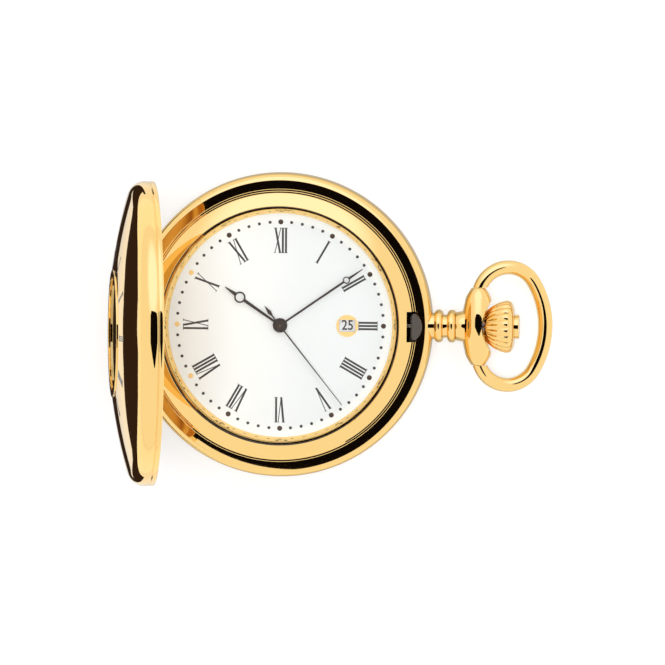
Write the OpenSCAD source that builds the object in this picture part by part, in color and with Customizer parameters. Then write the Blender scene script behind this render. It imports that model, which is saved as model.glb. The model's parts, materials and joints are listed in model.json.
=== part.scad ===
// Pocket watch with a hinged front lid, lying on its back with the lid open.
// Origin: centre of the flat back face. +X to the crown, +Y to twelve, +Z out of the dial.
// All lengths are millimetres.

/* [Case] */
// Radius of the case middle at its widest
case_r = 24; // [22:0.5:26]
// Height of the flat ledge that the lid closes on
ledge_z = 6.8; // [6.7:0.05:7]
// Thickness of the flange that carries the bezel
flange_t = 0.8; // [0.7:0.05:0.85]
// Width of the case middle beside its bore
case_wall = 2.7; // [2.6:0.05:2.8]
// Width of the flat ledge outside the bezel
ledge_w = 2.4; // [2.3:0.05:2.5]
// Width of the flange inside the bore
flange_w = 2.1; // [2:0.05:2.2]
// Height at which the back cover meets the case middle
back_seam_z = 2.2; // [2.1:0.05:2.3]
// Radius of the flat face that the watch lies on
back_flat_r = 16.5; // [15:0.5:18]
// Wall of the pressed back cover
back_wall = 0.9; // [0.7:0.1:1]

/* [Bezel and glass] */
// Width of the bezel's inner ring between the flange and the opening
rehaut_w = 1.5; // [1.4:0.05:1.6]
// Width of the bezel's outer step
bezel_step_w = 0.75; // [0.7:0.05:0.8]
// How far the crystal laps over the bezel's inner ring
crystal_lap = 1.05; // [1:0.05:1.1]
// Thickness of the crystal at its edge
crystal_edge_t = 0.8; // [0.6:0.1:1]
// Rise of the crystal's dome
crystal_rise = 0.8; // [0.5:0.1:1]

/* [Lid] */
// How far the lid's rim stands inside the case's
lid_inset = 0.1; // [0.05:0.05:0.2]
// Height of the lid at the edge of its window ring
lid_h = 6.5; // [6.3:0.1:6.9]
// Wall of the pressed lid
lid_wall = 0.8; // [0.7:0.05:0.9]
// Radius of the window in the lid
window_r = 9.4; // [8.5:0.1:9.6]
// Angle that the lid stands open
lid_open = 81.5; // [80:0.5:88]
// Distance of the hinge axis from the case's widest edge
hinge_inset = 1.3; // [1.2:0.05:1.35]
// Height of the hinge axis above the ledge
hinge_rise = 1.3; // [1.25:0.05:1.35]
// Radius of the hinge knuckles
knuckle_r = 0.8; // [0.75:0.05:0.85]
// Length of the whole hinge
hinge_len = 9; // [8:0.5:11]
// Diameter of the hinge pin
hinge_pin_d = 0.8; // [0.7:0.05:0.9]

/* [Pendant and bow] */
// Height of the crown's axis
stem_z = 4.4; // [4.35:0.05:4.5]
// Radius of the two beads on the neck
bead_r = 2.6; // [2.4:0.1:2.7]
// Radius of the groove between the beads
neck_groove_r = 1.84; // [1.8:0.02:2]
// Length of the collar between the beads and the bow's pivot
collar_len = 3.47; // [3.3:0.01:3.6]
// Half length of the pendant head
head_half = 6.08; // [5.9:0.05:6.2]
// Radius of the pendant head at its middle
head_r = 2.75; // [2.7:0.05:2.8]
// Diameter of the bow's wire
bow_wire_d = 2.2; // [2:0.05:2.3]
// Reach of the bow from its pivot to the middle of the wire
bow_reach = 10.88; // [10.8:0.05:11.2]
// Half width of the bow to the middle of the wire
bow_half = 9.3; // [9.1:0.1:9.6]
// Radius of the bow's tight bends
bow_bend_r = 4.8; // [4.6:0.1:4.9]
// Angle that the bow droops to lie on the table
bow_droop = 17; // [15:0.5:17]
// Largest radius of the crown
crown_r = 4.13; // [3.9:0.05:4.2]
// Flutes around the crown
crown_flutes = 20; // [16:1:24]
// Travel of the crown when it is pressed to open the lid
crown_push = 0.6; // [0.5:0.05:0.6]
// Diameter of the winding stem
stem_d = 1; // [0.9:0.05:1.1]

/* [Dial and hands] */
// How far the dial laps under the bezel's inner ring
dial_lap = 0.6; // [0.5:0.05:0.7]
// Thickness of the dial
dial_t = 0.4; // [0.3:0.05:0.45]
// Distance of the ring of dots from the bezel's opening
dot_inset = 1.37; // [1.2:0.01:1.6]
// Radius of an hour dot
dot_r = 0.4; // [0.3:0.05:0.5]
// Distance of the date window from the middle of the dial
date_x = 10.6; // [10.4:0.1:10.8]
// Width of the date window
date_w = 2.6; // [2.2:0.1:2.7]
// Height of the date window
date_h = 1.9; // [1.6:0.1:2]
// Length of the hour hand
hour_len = 10.6; // [9:0.1:11]
// Distance of the minute hand's tip from the ring of dots
minute_short = 0.48; // [0.4:0.01:1.5]
// Distance of the seconds hand's tip from the ring of dots
seconds_short = 0.43; // [0.3:0.01:1.5]
// Hour shown, as an angle clockwise from twelve
hour_at = 304.4; // [0:0.1:360]
// Minute shown, as an angle clockwise from twelve
minute_at = 55.3; // [0:0.1:360]
// Second shown, as an angle clockwise from twelve
seconds_at = 141.65; // [0:0.05:360]

/* [Movement] */
// Width of the movement outside its battery
movement_wall = 1.25; // [1.2:0.05:1.3]
// Height of the movement's back face
movement_z = 3.4; // [3.35:0.05:3.45]
// Diameter of the battery
battery_d = 7.9; // [7.6:0.1:8]
// Thickness of the battery
battery_t = 2.05; // [2:0.01:2.1]
// Thickness of a train wheel
wheel_t = 0.15; // [0.12:0.01:0.16]
// Diameter of a wheel's arbor
arbor_d = 0.3; // [0.28:0.01:0.32]

/* [Fits] */
// Clearance on the radius between pieces that turn or slide
run = 0.05; // [0.04:0.01:0.06]
// Clearance between pieces that stay together
seat = 0.02; // [0.02:0.01:0.03]
// Gap between pieces that pass each other
pass = 0.1; // [0.1:0.01:0.12]

/* [Hidden] */
$fn = 96;
tiny = 0.01;
over = 1;

// Colours, as the photograph shows them
gold = [0.93, 0.72, 0.36];
steel = [0.55, 0.55, 0.57];
dark = [0.2, 0.15, 0.13];
ivory = [0.98, 0.97, 0.93];
plastic = [0.85, 0.85, 0.82];
copper = [0.75, 0.4, 0.2];
clear = [0.8, 0.9, 0.95, 0.35];

// Case levels and radii that follow from the driving sizes
flange_z = ledge_z - flange_t;
case_bore_r = case_r - case_wall;
flange_bore_r = case_bore_r - flange_w;
bezel_r = case_r - ledge_w;
dial_view_r = flange_bore_r - rehaut_w;
crystal_r = dial_view_r + crystal_lap;
rim_fall = 1.1;
dial_z = flange_z + dial_t;
bezel_top_r = bezel_r - bezel_step_w;
bezel_foot_h = 0.55;
bezel_shoulder_h = 1.05;
bezel_top_z = ledge_z + 1.85;
rehaut_z = dial_z + 0.05;
crystal_z = bezel_top_z - crystal_edge_t;
gasket_t = 0.12;
bezel_inner_r = crystal_r + gasket_t + 3 * seat;
lip_inset = 0.4;
lip_r = case_bore_r - lip_inset;
lip_wall = 0.6;
lip_top_z = back_seam_z + 0.7;
case_notch_w = 4;
spring_notch_z = 4.2;

// Hinge, lid and latch
lid_r = case_r - lid_inset;
hinge_x = case_r - hinge_inset;
hinge_z = ledge_z + hinge_rise;
lid_gap = 0.05;
lid_z = ledge_z + lid_gap;
lid_dome_r = 81.4;
lid_dome_h = lid_h + 0.5;
lid_corner_r = 2.66;
lid_corner_h = 1.5;
lid_lip_w = 1.85;
lid_lip_r = lid_r - lid_lip_w;
lid_lip_h = 0.6;
lid_bead_h = 0.85;
lid_bead_groove_r = 0.12;
hinge_cut_h = 2.3;
hinge_cut_w = hinge_len + 1.6;
hinge_tongue = 3.2;
ring_w = 0.6;
ring_rise = 0.1;
ring_seat_h = lid_dome_h - pow(window_r, 2) / (2 * lid_dome_r) + seat;
ring_tube = 0.5;
ring_depth = 1.1;
window_t = 0.5;
window_ledge = 0.5;
nose_z = lid_z + lid_lip_h + lid_gap;
nose_t = 0.6;
nose_catch = 0.45;
nose_out = lid_lip_r + nose_catch;
nose_w = 4.12;
slot_w = 4.8;
latch_t = 0.6;
latch_bottom = 3.2;
leaf_t = 0.45;
leaf_inset = 0.75;
leaf_r = case_bore_r - leaf_inset;
leaf_nose_gap = 0.06;
nose_in = leaf_r + leaf_t + leaf_nose_gap;
slot_room = 0.96;
slot_in = nose_in - slot_room;
leaf_z = 4.2;
leaf_h = 1.2;
leaf_angle = -35;
lift_angle = 135;
lift_post_t = 0.8;
lift_post_r = case_bore_r - 0.1;
lift_post_w = 1.6;
lift_tip_w = 1.2;
lift_finger_r = case_bore_r + 0.9;
spring_block = 2;
spring_screw_d = 0.6;
spring_screw_head_d = 0.95;
screw_head_t = 0.4;
spring_pivot_r = leaf_r;
spring_bore_gap = 0.12;

// Pendant, bow and crown
neck_inset = 0.7;
neck_x = case_r - neck_inset;
spigot_len = 1.1;
spigot_x = neck_x - spigot_len;
spigot_r = 2;
bead_out = 0.98;
bead_x = case_r + bead_out;
bead_step = 2.05;
bead_round = 0.7;
collar_x = bead_x + bead_step + bead_round;
bow_x = collar_x + collar_len;
collar_r = 2.43;
head_shoulder_y = 4.3;
head_shoulder_r = 2.1;
head_end_r = 1.15;
recess_back = 0.25;
recess_x = bow_x + recess_back;
recess_r = 2.6;
recess_mouth = 2.2;
recess_mouth_x = bow_x + recess_mouth;
recess_mouth_r = 4.3;
sleeve_r = 1.4;
sleeve_wall = 0.5;
sleeve_in = nose_in + latch_t + pass;
crown_gap = 1.1;
crown_x = bow_x + crown_gap;
crown_small_r = 2.4;
crown_wide = 3.45;
crown_widest_x = crown_x + crown_wide;
crown_len = 4.67;
crown_dome_x = crown_x + crown_len;
crown_shoulder_r = 2.5;
crown_cap_t = 0.73;
crown_end_x = crown_dome_x + crown_cap_t;
crown_cap_r = 1.9;
crown_cap_post = 0.8;
crown_cap_post_r = 0.9;
flute_r = 0.42;
bow_pin_r = 0.65;
bow_pin_len = 1.6;
bow_centre = bow_bend_r;
bow_lap = 1;
bow_swell = 0.12;
bow_side_r = (pow(bow_reach - bow_centre, 2) + pow(bow_half - bow_bend_r, 2) - pow(bow_bend_r, 2))
    / (2 * (bow_reach - bow_centre - bow_bend_r));
bow_side_x = bow_reach - bow_side_r;
bow_seat_y = head_half + pass;
gasket_back = 2;
gasket_x = bow_x - gasket_back;
gasket_w = 0.6;
gasket_out_r = 1.75;
crown_foot = 0.4;
crown_rim = 0.3;
flute_depth = 0.3;
flute_slope = atan2(crown_r - crown_small_r, crown_wide - crown_rim - crown_foot);
stem_in = 6.7;
pinion_in = 7.5;
pinion_out = 9.1;
lever_x = 11;
lever_slot = 0.9;
screw_depth = 0.55;
holder_screw_at = [60, 200, 300];
holder_screw_inset = 1.2;
holder_screw_r = case_bore_r - holder_screw_inset;
holder_screw_d = 0.8;

// Dial, hands and their heights
dial_r = dial_view_r + dial_lap;
dot_ring_r = dial_view_r - dot_inset;
minute_len = dot_ring_r - minute_short;
seconds_len = dot_ring_r - seconds_short;
date_frame_r = 1.74;
date_frame_t = 0.12;
hand_t = 0.12;
hour_hand_z = dial_z + 0.45;
minute_hand_z = dial_z + 0.75;
seconds_hand_z = dial_z + 1.05;
hour_pipe_r = 0.75;
cannon_r = 0.4;

// Movement: its radius, and the levels of the plate and the train, counted from the back
train_room_r = 3.3;
battery_gap = 0.35;
battery_mid = train_room_r + battery_gap + battery_d / 2;
movement_r = battery_mid + battery_d / 2 + movement_wall;
web_r = 9.3;
web_low = 4.6;
web_high = 4.9;
plate_top = 5.5;
date_disc_z = plate_top + 0.05;
date_disc_t = 0.15;
date_disc_in = 8.4;
date_disc_rim = 0.8;
date_disc_out = movement_r - date_disc_rim;
guard_z = date_disc_z + date_disc_t + run;
guard_t = 0.1;
bridge_z = 2.8;
seconds_z = 3.5;
third_z = 3.75;
centre_z = 4;
intermediate_z = 4.3;
pivot_r = 0.1;
centre_module = 0.0944;
train_module = 0.1;
seconds_module = 0.18;
rotor_module = 0.09;
motion_module = 0.13;
date_module = 0.2;
third_at = polar(train_module * (8 + 60) / 2, 100);
intermediate_at = polar(seconds_module * (10 + 30) / 2, 170);
rotor_at = intermediate_at + polar(rotor_module * (6 + 60) / 2, 215);
minute_wheel_at = polar(motion_module * (10 + 30) / 2, 0);
setting_wheel_at = minute_wheel_at + polar(motion_module * (30 + 20) / 2, 0);
date_wheel_at = polar(date_module * (16 + 32) / 2, 215);
motion_z = web_high + 0.07;
hour_wheel_z = motion_z + wheel_t + 0.1;
date_wheel_z = hour_wheel_z + wheel_t + 0.02;
date_wheel_t = 0.1;
battery_at = polar(battery_mid, -70);
battery_top = 4.5;
clamp_t = 0.18;
clamp_screw_at = [7.6, -5.4];
board_t = 0.2;
bridge_r = 7.4;
board_gap = 0.2;
board_in = bridge_r + board_gap;
holder_lip = 0.5;
board_out = movement_r - holder_lip - pass;
board_start = 75;
board_sweep = 105;
board_z = movement_z - seat - board_t;
quartz_d = 1.6;
quartz_len = 5.5;
chip_w = 2.4;
chip_t = 0.6;
coil_at = polar(9.9, 221) + polar(1.2, 131);
coil_angle = 131;
coil_len = 5.4;
coil_d = 1.8;
coil_reach = 2.1;
coil_top = 4.78;
stator_z = 3.65;
stator_t = 0.3;
stator_r = 1.8;
rotor_gap = 0.2;
magnet_r = 0.9;
core_w = 0.8;
bridge_screw_at = [[3.6, 3.9], [-3.6, 5.5], [-1.9, -4.6]];
bridge_screw_d = 0.6;
bridge_screw_head_d = 1.1;
guard_posts = [[4, 6.6], [-4, 6.6], [3.2, -7]];
guard_r = 8.9;
jumper_at = [5.5, 4.6];
jumper_tip = polar(8.25, 14);
lever_at = [11.5, -3.6];
lever_tip = [11, -0.42];
yoke_at = [8, -4];
yoke_tip = [8.3, -1.05];
lever_z = 4.2;
lever_t = 0.25;
post_r = 0.3;
key_pocket = [[7.2, -4.8], [12.35, -0.2]];
pinion_r = 0.95;
holder_room = 2.4;
holder_r = case_bore_r - holder_room;
holder_low = 3;
holder_flange_z = 5.35;
holder_flange_r = case_bore_r - 0.1;
holder_gap_at = [[-50, 64], [122, 66]];
clamp_z = battery_top - battery_t - clamp_t - seat;
stator_ends = [for (side = [-1, 1]) coil_at + polar(side * (coil_len / 2 + coil_reach), coil_angle)];

// A point at a distance and an angle from the origin
function polar(r, a) = [r * cos(a), r * sin(a)];

// Places a shape that is drawn on the closed lid at the angle where the lid stands open
module open_lid() {
    translate([-hinge_x, 0, hinge_z]) rotate([0, -lid_open, 0])
        translate([hinge_x, 0, -hinge_z]) children();
}

// A ring with square edges
module ring(inner, outer, low, high) {
    translate([0, 0, low]) difference() {
        cylinder(r = outer, h = high - low);
        translate([0, 0, -over]) cylinder(r = inner, h = high - low + 2 * over);
    }
}

// A round bar along X
module bar_x(r, from, to, z = stem_z) {
    translate([from, 0, z]) rotate([0, 90, 0]) cylinder(r = r, h = to - from);
}

// A cut slot across X between two heights, centred on Y
module block(from, to, width, low, high) {
    translate([from, -width / 2, low]) cube([to - from, width, high - low]);
}

// Part of a ring between two angles, drawn flat
module arc_band(inner, outer, start, sweep) {
    rotate([0, 0, start]) rotate_extrude(angle = sweep) translate([inner, 0])
        square([outer - inner, leaf_h]);
}

// One knuckle of the hinge, with its bore
module knuckle(from, to, bore) {
    difference() {
        union() {
            translate([-hinge_x, from, hinge_z]) rotate([-90, 0, 0]) cylinder(r = knuckle_r, h = to - from);
            children();
        }
        translate([-hinge_x, from - over, hinge_z]) rotate([-90, 0, 0])
            cylinder(d = hinge_pin_d + 2 * bore, h = to - from + 2 * over);
    }
}

module case_profile() {
    low_round = 0.8;
    translate([case_bore_r, back_seam_z])
        square([case_r - rim_fall - case_bore_r, ledge_z - back_seam_z]);
    translate([case_bore_r, back_seam_z + low_round])
        square([case_r - case_bore_r, ledge_z - rim_fall - back_seam_z - low_round]);
    translate([case_r - rim_fall, ledge_z - rim_fall]) circle(r = rim_fall);
    translate([case_r - low_round, back_seam_z + low_round]) circle(r = low_round);
    translate([flange_bore_r, flange_z]) square([case_bore_r - flange_bore_r + tiny, flange_t]);
    translate([case_bore_r, back_seam_z]) square([case_r - low_round - case_bore_r, low_round]);
}

module case_middle() color(gold) {
    side = (hinge_len - hinge_tongue) / 2;
    difference() {
        rotate_extrude($fn = 180) case_profile();
        block(slot_in, nose_in + latch_t + pass, slot_w, latch_bottom - pass, ledge_z + over);
        block(-hinge_x - tiny, -case_bore_r + over, hinge_tongue, spring_notch_z, ledge_z + over);
        bar_x(spigot_r + seat, spigot_x - seat, case_r + over);
        bar_x(bead_r - 0.5 + seat, neck_x - seat, case_r + over);
        bar_x(sleeve_r + run, nose_in, case_r);
        for (a = [leaf_angle, lift_angle]) rotate([0, 0, a])
            translate([spring_pivot_r, 0, flange_z - over])
                cylinder(d = spring_screw_d + 2 * seat, h = over + screw_depth, $fn = 32);
        for (a = holder_screw_at) rotate([0, 0, a])
            translate([holder_screw_r, 0, flange_z - over])
                cylinder(d = holder_screw_d + 2 * seat, h = over + screw_depth, $fn = 32);
    }
    for (from = [-hinge_len / 2, hinge_len / 2 - side + pass])
        knuckle(from, from + side - pass, seat)
            translate([-hinge_x - knuckle_r, from, ledge_z - tiny])
                cube([2 * knuckle_r, side - pass, hinge_rise]);
}

module back_cover() color(gold) {
    edge_r = case_r - 0.4;
    edge_z = back_seam_z - seat;
    dome = 1.4;
    difference() {
        rotate_extrude($fn = 180) {
            difference() {
                union() {
                    square([back_flat_r, edge_z]);
                    polygon([[back_flat_r, 0], [edge_r - dome, edge_z - dome], [edge_r - dome, edge_z],
                        [back_flat_r, edge_z]]);
                    translate([edge_r - dome, edge_z - dome]) square([dome, dome]);
                }
                difference() {
                    translate([edge_r - dome, edge_z - dome - tiny]) square([dome + over, dome + tiny]);
                    translate([edge_r - dome, edge_z]) circle(r = dome);
                }
                translate([0, back_wall]) square([lip_r - lip_wall, edge_z]);
            }
            translate([lip_r - lip_wall, edge_z - tiny]) square([lip_wall, lip_top_z - edge_z]);
        }
        translate([-case_notch_w / 2, -case_r - over, edge_z - 0.5])
            cube([case_notch_w, case_r - edge_r + over + 0.9, 0.5 + tiny]);
    }
}

module back_gasket() color(dark)
    ring(lip_r + seat, case_bore_r - seat, back_seam_z + seat, lip_top_z - seat);

module bezel() color(gold) {
    difference() {
        rotate_extrude($fn = 180) polygon([
            [dial_view_r, rehaut_z], [flange_bore_r - run, rehaut_z], [flange_bore_r - run, ledge_z],
            [bezel_r, ledge_z], [bezel_r, ledge_z + 0.3], [bezel_r - 0.35, ledge_z + 0.35],
            [bezel_r - 0.35, ledge_z + bezel_foot_h + 0.1], [bezel_top_r + 0.1, ledge_z + bezel_foot_h + 0.15],
            [bezel_top_r + 0.1, ledge_z + bezel_shoulder_h], [bezel_top_r, ledge_z + bezel_shoulder_h + 0.1],
            [bezel_inner_r, bezel_top_z], [crystal_r + gasket_t + 2 * seat, bezel_top_z],
            [crystal_r + gasket_t + 2 * seat, crystal_z - seat], [dial_view_r + 0.45, crystal_z - seat]
        ]);
        block(slot_in, bezel_r + over, slot_w, ledge_z - over, bezel_top_z);
        block(-bezel_r - over, -bezel_r + 0.15, hinge_len + 1, ledge_z - over, bezel_top_z);
    }
}

module crystal() color(clear) {
    dome_r = (pow(crystal_r, 2) + pow(crystal_rise, 2)) / (2 * crystal_rise);
    rotate_extrude($fn = 120) intersection() {
        translate([0, crystal_z]) square([crystal_r, crystal_edge_t + crystal_rise]);
        translate([0, crystal_z + crystal_edge_t + crystal_rise - dome_r]) circle(r = dome_r, $fn = 2400);
    }
}

module crystal_gasket() color(plastic)
    ring(crystal_r + seat, crystal_r + seat + gasket_t, crystal_z, bezel_top_z - 0.1);

module lid_profile(shrink, lip) {
    intersection() {
        translate([0, lid_dome_h - lid_dome_r]) circle(r = lid_dome_r - shrink, $fn = 720);
        union() {
            translate([0, lip]) square([lid_r - shrink, lid_corner_h - lip]);
            square([lid_r - lid_corner_r, lid_dome_h]);
            translate([lid_r - lid_corner_r, lid_corner_h]) circle(r = lid_corner_r - shrink);
        }
        translate([0, lip]) square([lid_r, lid_dome_h]);
    }
}

module lid() color(gold) open_lid() {
    difference() {
        translate([0, 0, lid_z]) rotate_extrude($fn = 180) difference() {
            lid_profile(0, 0);
            lid_profile(lid_wall, lid_lip_h);
            translate([0, -over]) square([lid_lip_r, lid_lip_h + over + tiny]);
            translate([0, -over]) square([window_r, lid_dome_h + 2 * over]);
            translate([lid_r, lid_bead_h]) circle(r = lid_bead_groove_r, $fn = 24);
        }
        block(-lid_r - over, -lid_lip_r + over, hinge_cut_w, lid_z - over, lid_z + hinge_cut_h);
    }
    knuckle(-hinge_tongue / 2 + pass, hinge_tongue / 2 - pass, run)
        translate([-hinge_x - knuckle_r, -hinge_tongue / 2 + pass, hinge_z])
            cube([knuckle_r, hinge_tongue - 2 * pass, lid_z + hinge_cut_h + 0.4 - hinge_z]);
}

module lid_window_ring() color(gold) open_lid() translate([0, 0, lid_z])
    rotate_extrude($fn = 120) {
        inner = window_r - ring_tube;
        translate([inner, ring_seat_h - ring_depth]) square([ring_tube - seat, ring_depth + tiny]);
        translate([inner - window_ledge, ring_seat_h - ring_depth]) square([window_ledge + tiny, 0.3]);
        translate([inner + ring_rise / 2, ring_seat_h]) square([ring_w + ring_tube - ring_rise, ring_rise]);
        for (r = [inner + ring_rise / 2, window_r + ring_w - ring_rise / 2])
            translate([r, ring_seat_h + ring_rise / 2]) circle(d = ring_rise, $fn = 32);
    }

module lid_window_glass() color(clear) open_lid()
    translate([0, 0, lid_z + ring_seat_h - ring_depth + 0.3 + seat])
        cylinder(r = window_r - ring_tube - 2 * seat, h = window_t, $fn = 120);

module hinge_pin() color(gold)
    translate([-hinge_x, -hinge_len / 2, hinge_z]) rotate([-90, 0, 0])
        cylinder(d = hinge_pin_d, h = hinge_len, $fn = 48);

module spring_block_at(angle, low, high) {
    rotate([0, 0, angle]) translate([leaf_r - 0.6, -spring_block / 2, low])
        cube([leaf_t + 0.75, spring_block, high - low]);
}

module spring_screw_hole(angle) {
    rotate([0, 0, angle]) translate([spring_pivot_r, 0, latch_bottom])
        cylinder(d = spring_screw_d + 2 * spring_bore_gap, h = ledge_z, $fn = 32);
}

// The lift leaf in plan: an arc from its screw to the post under the hinge
module lift_plan() {
    intersection() {
        difference() {
            circle(r = leaf_r + leaf_t);
            circle(r = leaf_r);
        }
        polygon([[0, 0], polar(2 * case_r, lift_angle), polar(2 * case_r, 179)]);
    }
    translate([-lift_post_r, -lift_post_w / 2]) square([lift_post_t, lift_post_w]);
}

// The tip beside the leaf's end, seen from the side: a foot that crosses the bore and a finger
module lift_tip_side() polygon([
    [-leaf_r - 0.3, leaf_z + 0.3], [-leaf_r - 0.3, leaf_z + leaf_h - 0.2],
    [-lift_post_r, leaf_z + leaf_h - 0.2], [-lift_post_r - 0.15, flange_z + 0.4],
    [-lift_finger_r, flange_z + 0.4], [-lift_finger_r, leaf_z + 0.7]
]);

module lift_spring() color(steel) difference() {
    union() {
        translate([0, 0, leaf_z + pass]) linear_extrude(leaf_h - pass) lift_plan();
        translate([0, lift_tip_w / 2, 0]) rotate([90, 0, 0]) linear_extrude(lift_tip_w) lift_tip_side();
        spring_block_at(lift_angle, leaf_z, flange_z - 2 * seat);
    }
    spring_screw_hole(lift_angle);
}

module lock_spring() color(steel) {
    difference() {
        union() {
            translate([0, 0, leaf_z]) arc_band(leaf_r, leaf_r + leaf_t, leaf_angle, -leaf_angle + 4);
            spring_block_at(leaf_angle, leaf_z, flange_z - seat);
            block(nose_in - 0.16, nose_in + latch_t - 0.1, nose_w - 0.4, latch_bottom, nose_z + nose_t);
            translate([0, 0, nose_z]) linear_extrude(nose_t) intersection() {
                translate([nose_in, -nose_w / 2]) square([nose_out - nose_in, nose_w]);
                translate([nose_out - 2.6, 0]) circle(r = 2.6);
            }
        }
        spring_screw_hole(leaf_angle);
        bar_x(stem_d / 2 + 0.4, slot_in, nose_out);
    }
}

module spring_screws() color(steel) for (a = [leaf_angle, lift_angle]) rotate([0, 0, a])
    translate([spring_pivot_r, 0, 0]) {
        translate([0, 0, leaf_z - seat - screw_head_t]) slotted_head(spring_screw_head_d);
        translate([0, 0, leaf_z - seat - tiny])
            cylinder(d = spring_screw_d, h = flange_z + screw_depth - seat - leaf_z, $fn = 32);
    }

module slotted_head(d) {
    difference() {
        cylinder(d = d, h = screw_head_t, $fn = 32);
        translate([-d, -0.1, -over]) cube([2 * d, 0.2, over + screw_head_t / 2]);
    }
}

// The neck's outline along X, from the case to the head
module neck_profile() {
    square([spigot_r, neck_x - spigot_x]);
    translate([0, neck_x - spigot_x]) square([bead_r - 0.5, bead_x - neck_x]);
    translate([0, neck_x - spigot_x - tiny]) square([neck_groove_r, collar_x + 1 - neck_x]);
    for (i = [0, 1]) {
        translate([bead_r - bead_round, bead_x + i * bead_step - spigot_x]) circle(r = bead_round);
        translate([0, bead_x + i * bead_step - bead_round - spigot_x])
            square([bead_r - bead_round, 2 * bead_round]);
    }
    translate([0, collar_x - spigot_x]) square([collar_r, 1.2]);
}

module head_shape() {
    bulge_r = (pow(head_r - head_shoulder_r, 2) + pow(head_shoulder_y, 2)) / (2 * (head_r - head_shoulder_r));
    translate([bow_x, 0, stem_z]) rotate([-90, 0, 0]) rotate_extrude() intersection() {
        translate([0, -head_half]) square([head_r, 2 * head_half]);
        translate([head_r - bulge_r, 0]) circle(r = bulge_r, $fn = 360);
        polygon([[0, -head_half], [head_end_r, -head_half], [head_shoulder_r, -head_shoulder_y],
            [head_r + over, 0], [head_shoulder_r, head_shoulder_y], [head_end_r, head_half], [0, head_half]]);
    }
}

module pendant() color(gold) difference() {
    union() {
        translate([spigot_x, 0, stem_z]) rotate([0, 90, 0]) rotate_extrude()
            intersection() {
                neck_profile();
                square([case_r, bow_x - spigot_x]);
            }
        head_shape();
    }
    translate([recess_x, 0, stem_z]) rotate([0, 90, 0]) cylinder(r = recess_r, h = over);
    translate([recess_x + 0.4, 0, stem_z]) rotate([0, 90, 0])
        cylinder(r1 = recess_r, r2 = recess_mouth_r, h = recess_mouth_x - recess_x - 0.4);
    bar_x(recess_mouth_r, recess_mouth_x - tiny, recess_mouth_x + over);
    bar_x(sleeve_r + run, spigot_x - over, recess_x + tiny);
    bar_x(gasket_out_r, gasket_x, gasket_x + gasket_w);
    for (side = [-1, 1]) translate([bow_x, side * (head_half - bow_pin_len - seat), stem_z])
        rotate([-90 * side, 0, 0]) cylinder(r = bow_pin_r + run, h = bow_pin_len + over, $fn = 48);
}

module pendant_gasket() color(dark)
    translate([gasket_x + seat, 0, stem_z]) rotate([0, 90, 0])
        ring(sleeve_r + seat, gasket_out_r - seat, 0, gasket_w - 2 * seat);

// The oval wire, drawn flat around the pivot at the origin: a long arc, a little thicker,
// that takes in the starts of the two tight bends
module bow_wire() {
    bend_y = bow_half - bow_bend_r;
    side_arc = atan2(bend_y, bow_centre - bow_side_x);
    translate([bow_side_x, 0]) rotate([0, 0, -side_arc - bow_lap]) rotate_extrude(angle = 2 * (side_arc + bow_lap))
        translate([bow_side_r, 0]) circle(d = bow_wire_d + bow_swell, $fn = 48);
    for (turn = [0, 180]) rotate([turn, 0, 0]) translate([bow_centre, bend_y, 0])
        rotate([0, 0, side_arc]) rotate_extrude(angle = 180 - side_arc)
            translate([bow_bend_r, 0]) circle(d = bow_wire_d, $fn = 48);
}

module bow() color(gold) translate([bow_x, 0, stem_z]) rotate([0, bow_droop, 0]) {
    difference() {
        bow_wire();
        translate([-bow_wire_d, -bow_seat_y, -bow_wire_d]) cube([2 * bow_wire_d, 2 * bow_seat_y, 2 * bow_wire_d]);
    }
    for (side = [-1, 1]) translate([0, side * (head_half - bow_pin_len), 0])
        rotate([-90 * side, 0, 0]) cylinder(r = bow_pin_r, h = bow_pin_len + pass + 0.4, $fn = 48);
}

module crown() color(gold) difference() {
    translate([crown_x, 0, stem_z]) rotate([0, 90, 0]) rotate_extrude() polygon([
        [0, 0], [crown_small_r, 0], [crown_small_r, crown_foot], [crown_r, crown_wide - crown_rim],
        [crown_r, crown_wide + crown_rim / 2], [crown_r - 0.5, crown_len - 0.4],
        [crown_shoulder_r, crown_len], [0, crown_len]]);
    for (i = [0:crown_flutes - 1]) translate([crown_x, 0, stem_z]) rotate([360 / crown_flutes * i, 0, 0])
        translate([crown_foot, 0, crown_small_r + flute_r - flute_depth]) rotate([0, 90 - flute_slope, 0])
            translate([0, 0, -over]) cylinder(r = flute_r, h = crown_len + 2 * over, $fn = 24);
    bar_x(stem_d / 2 + run, crown_x - over, crown_widest_x + 0.2);
    bar_x(sleeve_r + seat, crown_x - over, crown_x + 1.2);
    bar_x(crown_cap_post_r + seat, crown_dome_x - crown_cap_post, crown_end_x);
}

module crown_cap() color(gold) {
    bar_x(crown_cap_r, crown_dome_x + seat, crown_end_x);
    bar_x(crown_cap_post_r, crown_dome_x - crown_cap_post + seat, crown_dome_x + 0.1);
}

module push_sleeve() color(steel) difference() {
    bar_x(sleeve_r, sleeve_in, crown_x + 1.2 - seat);
    bar_x(sleeve_r - sleeve_wall, sleeve_in - over, crown_x + 1.5);
}

module winding_stem() color(steel) difference() {
    union() {
        bar_x(stem_d / 2, pinion_out + 0.2, crown_widest_x - crown_push - 0.1);
        block(stem_in, pinion_out + 0.3, stem_d * 0.6, stem_z - stem_d * 0.3, stem_z + stem_d * 0.3);
    }
    translate([lever_x, 0, stem_z]) rotate([0, 90, 0]) translate([0, 0, -lever_slot / 2])
        ring(stem_d / 2 - 0.2, stem_d, 0, lever_slot);
}

// Dial
module dial() color(ivory) difference() {
    translate([0, 0, flange_z]) cylinder(r = dial_r, h = dial_t, $fn = 180);
    translate([0, 0, flange_z - over]) cylinder(r = hour_pipe_r + 0.25, h = 3, $fn = 48);
    block(date_x - date_w / 2, date_x + date_w / 2, date_h, flange_z - over, dial_z + over);
}

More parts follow.
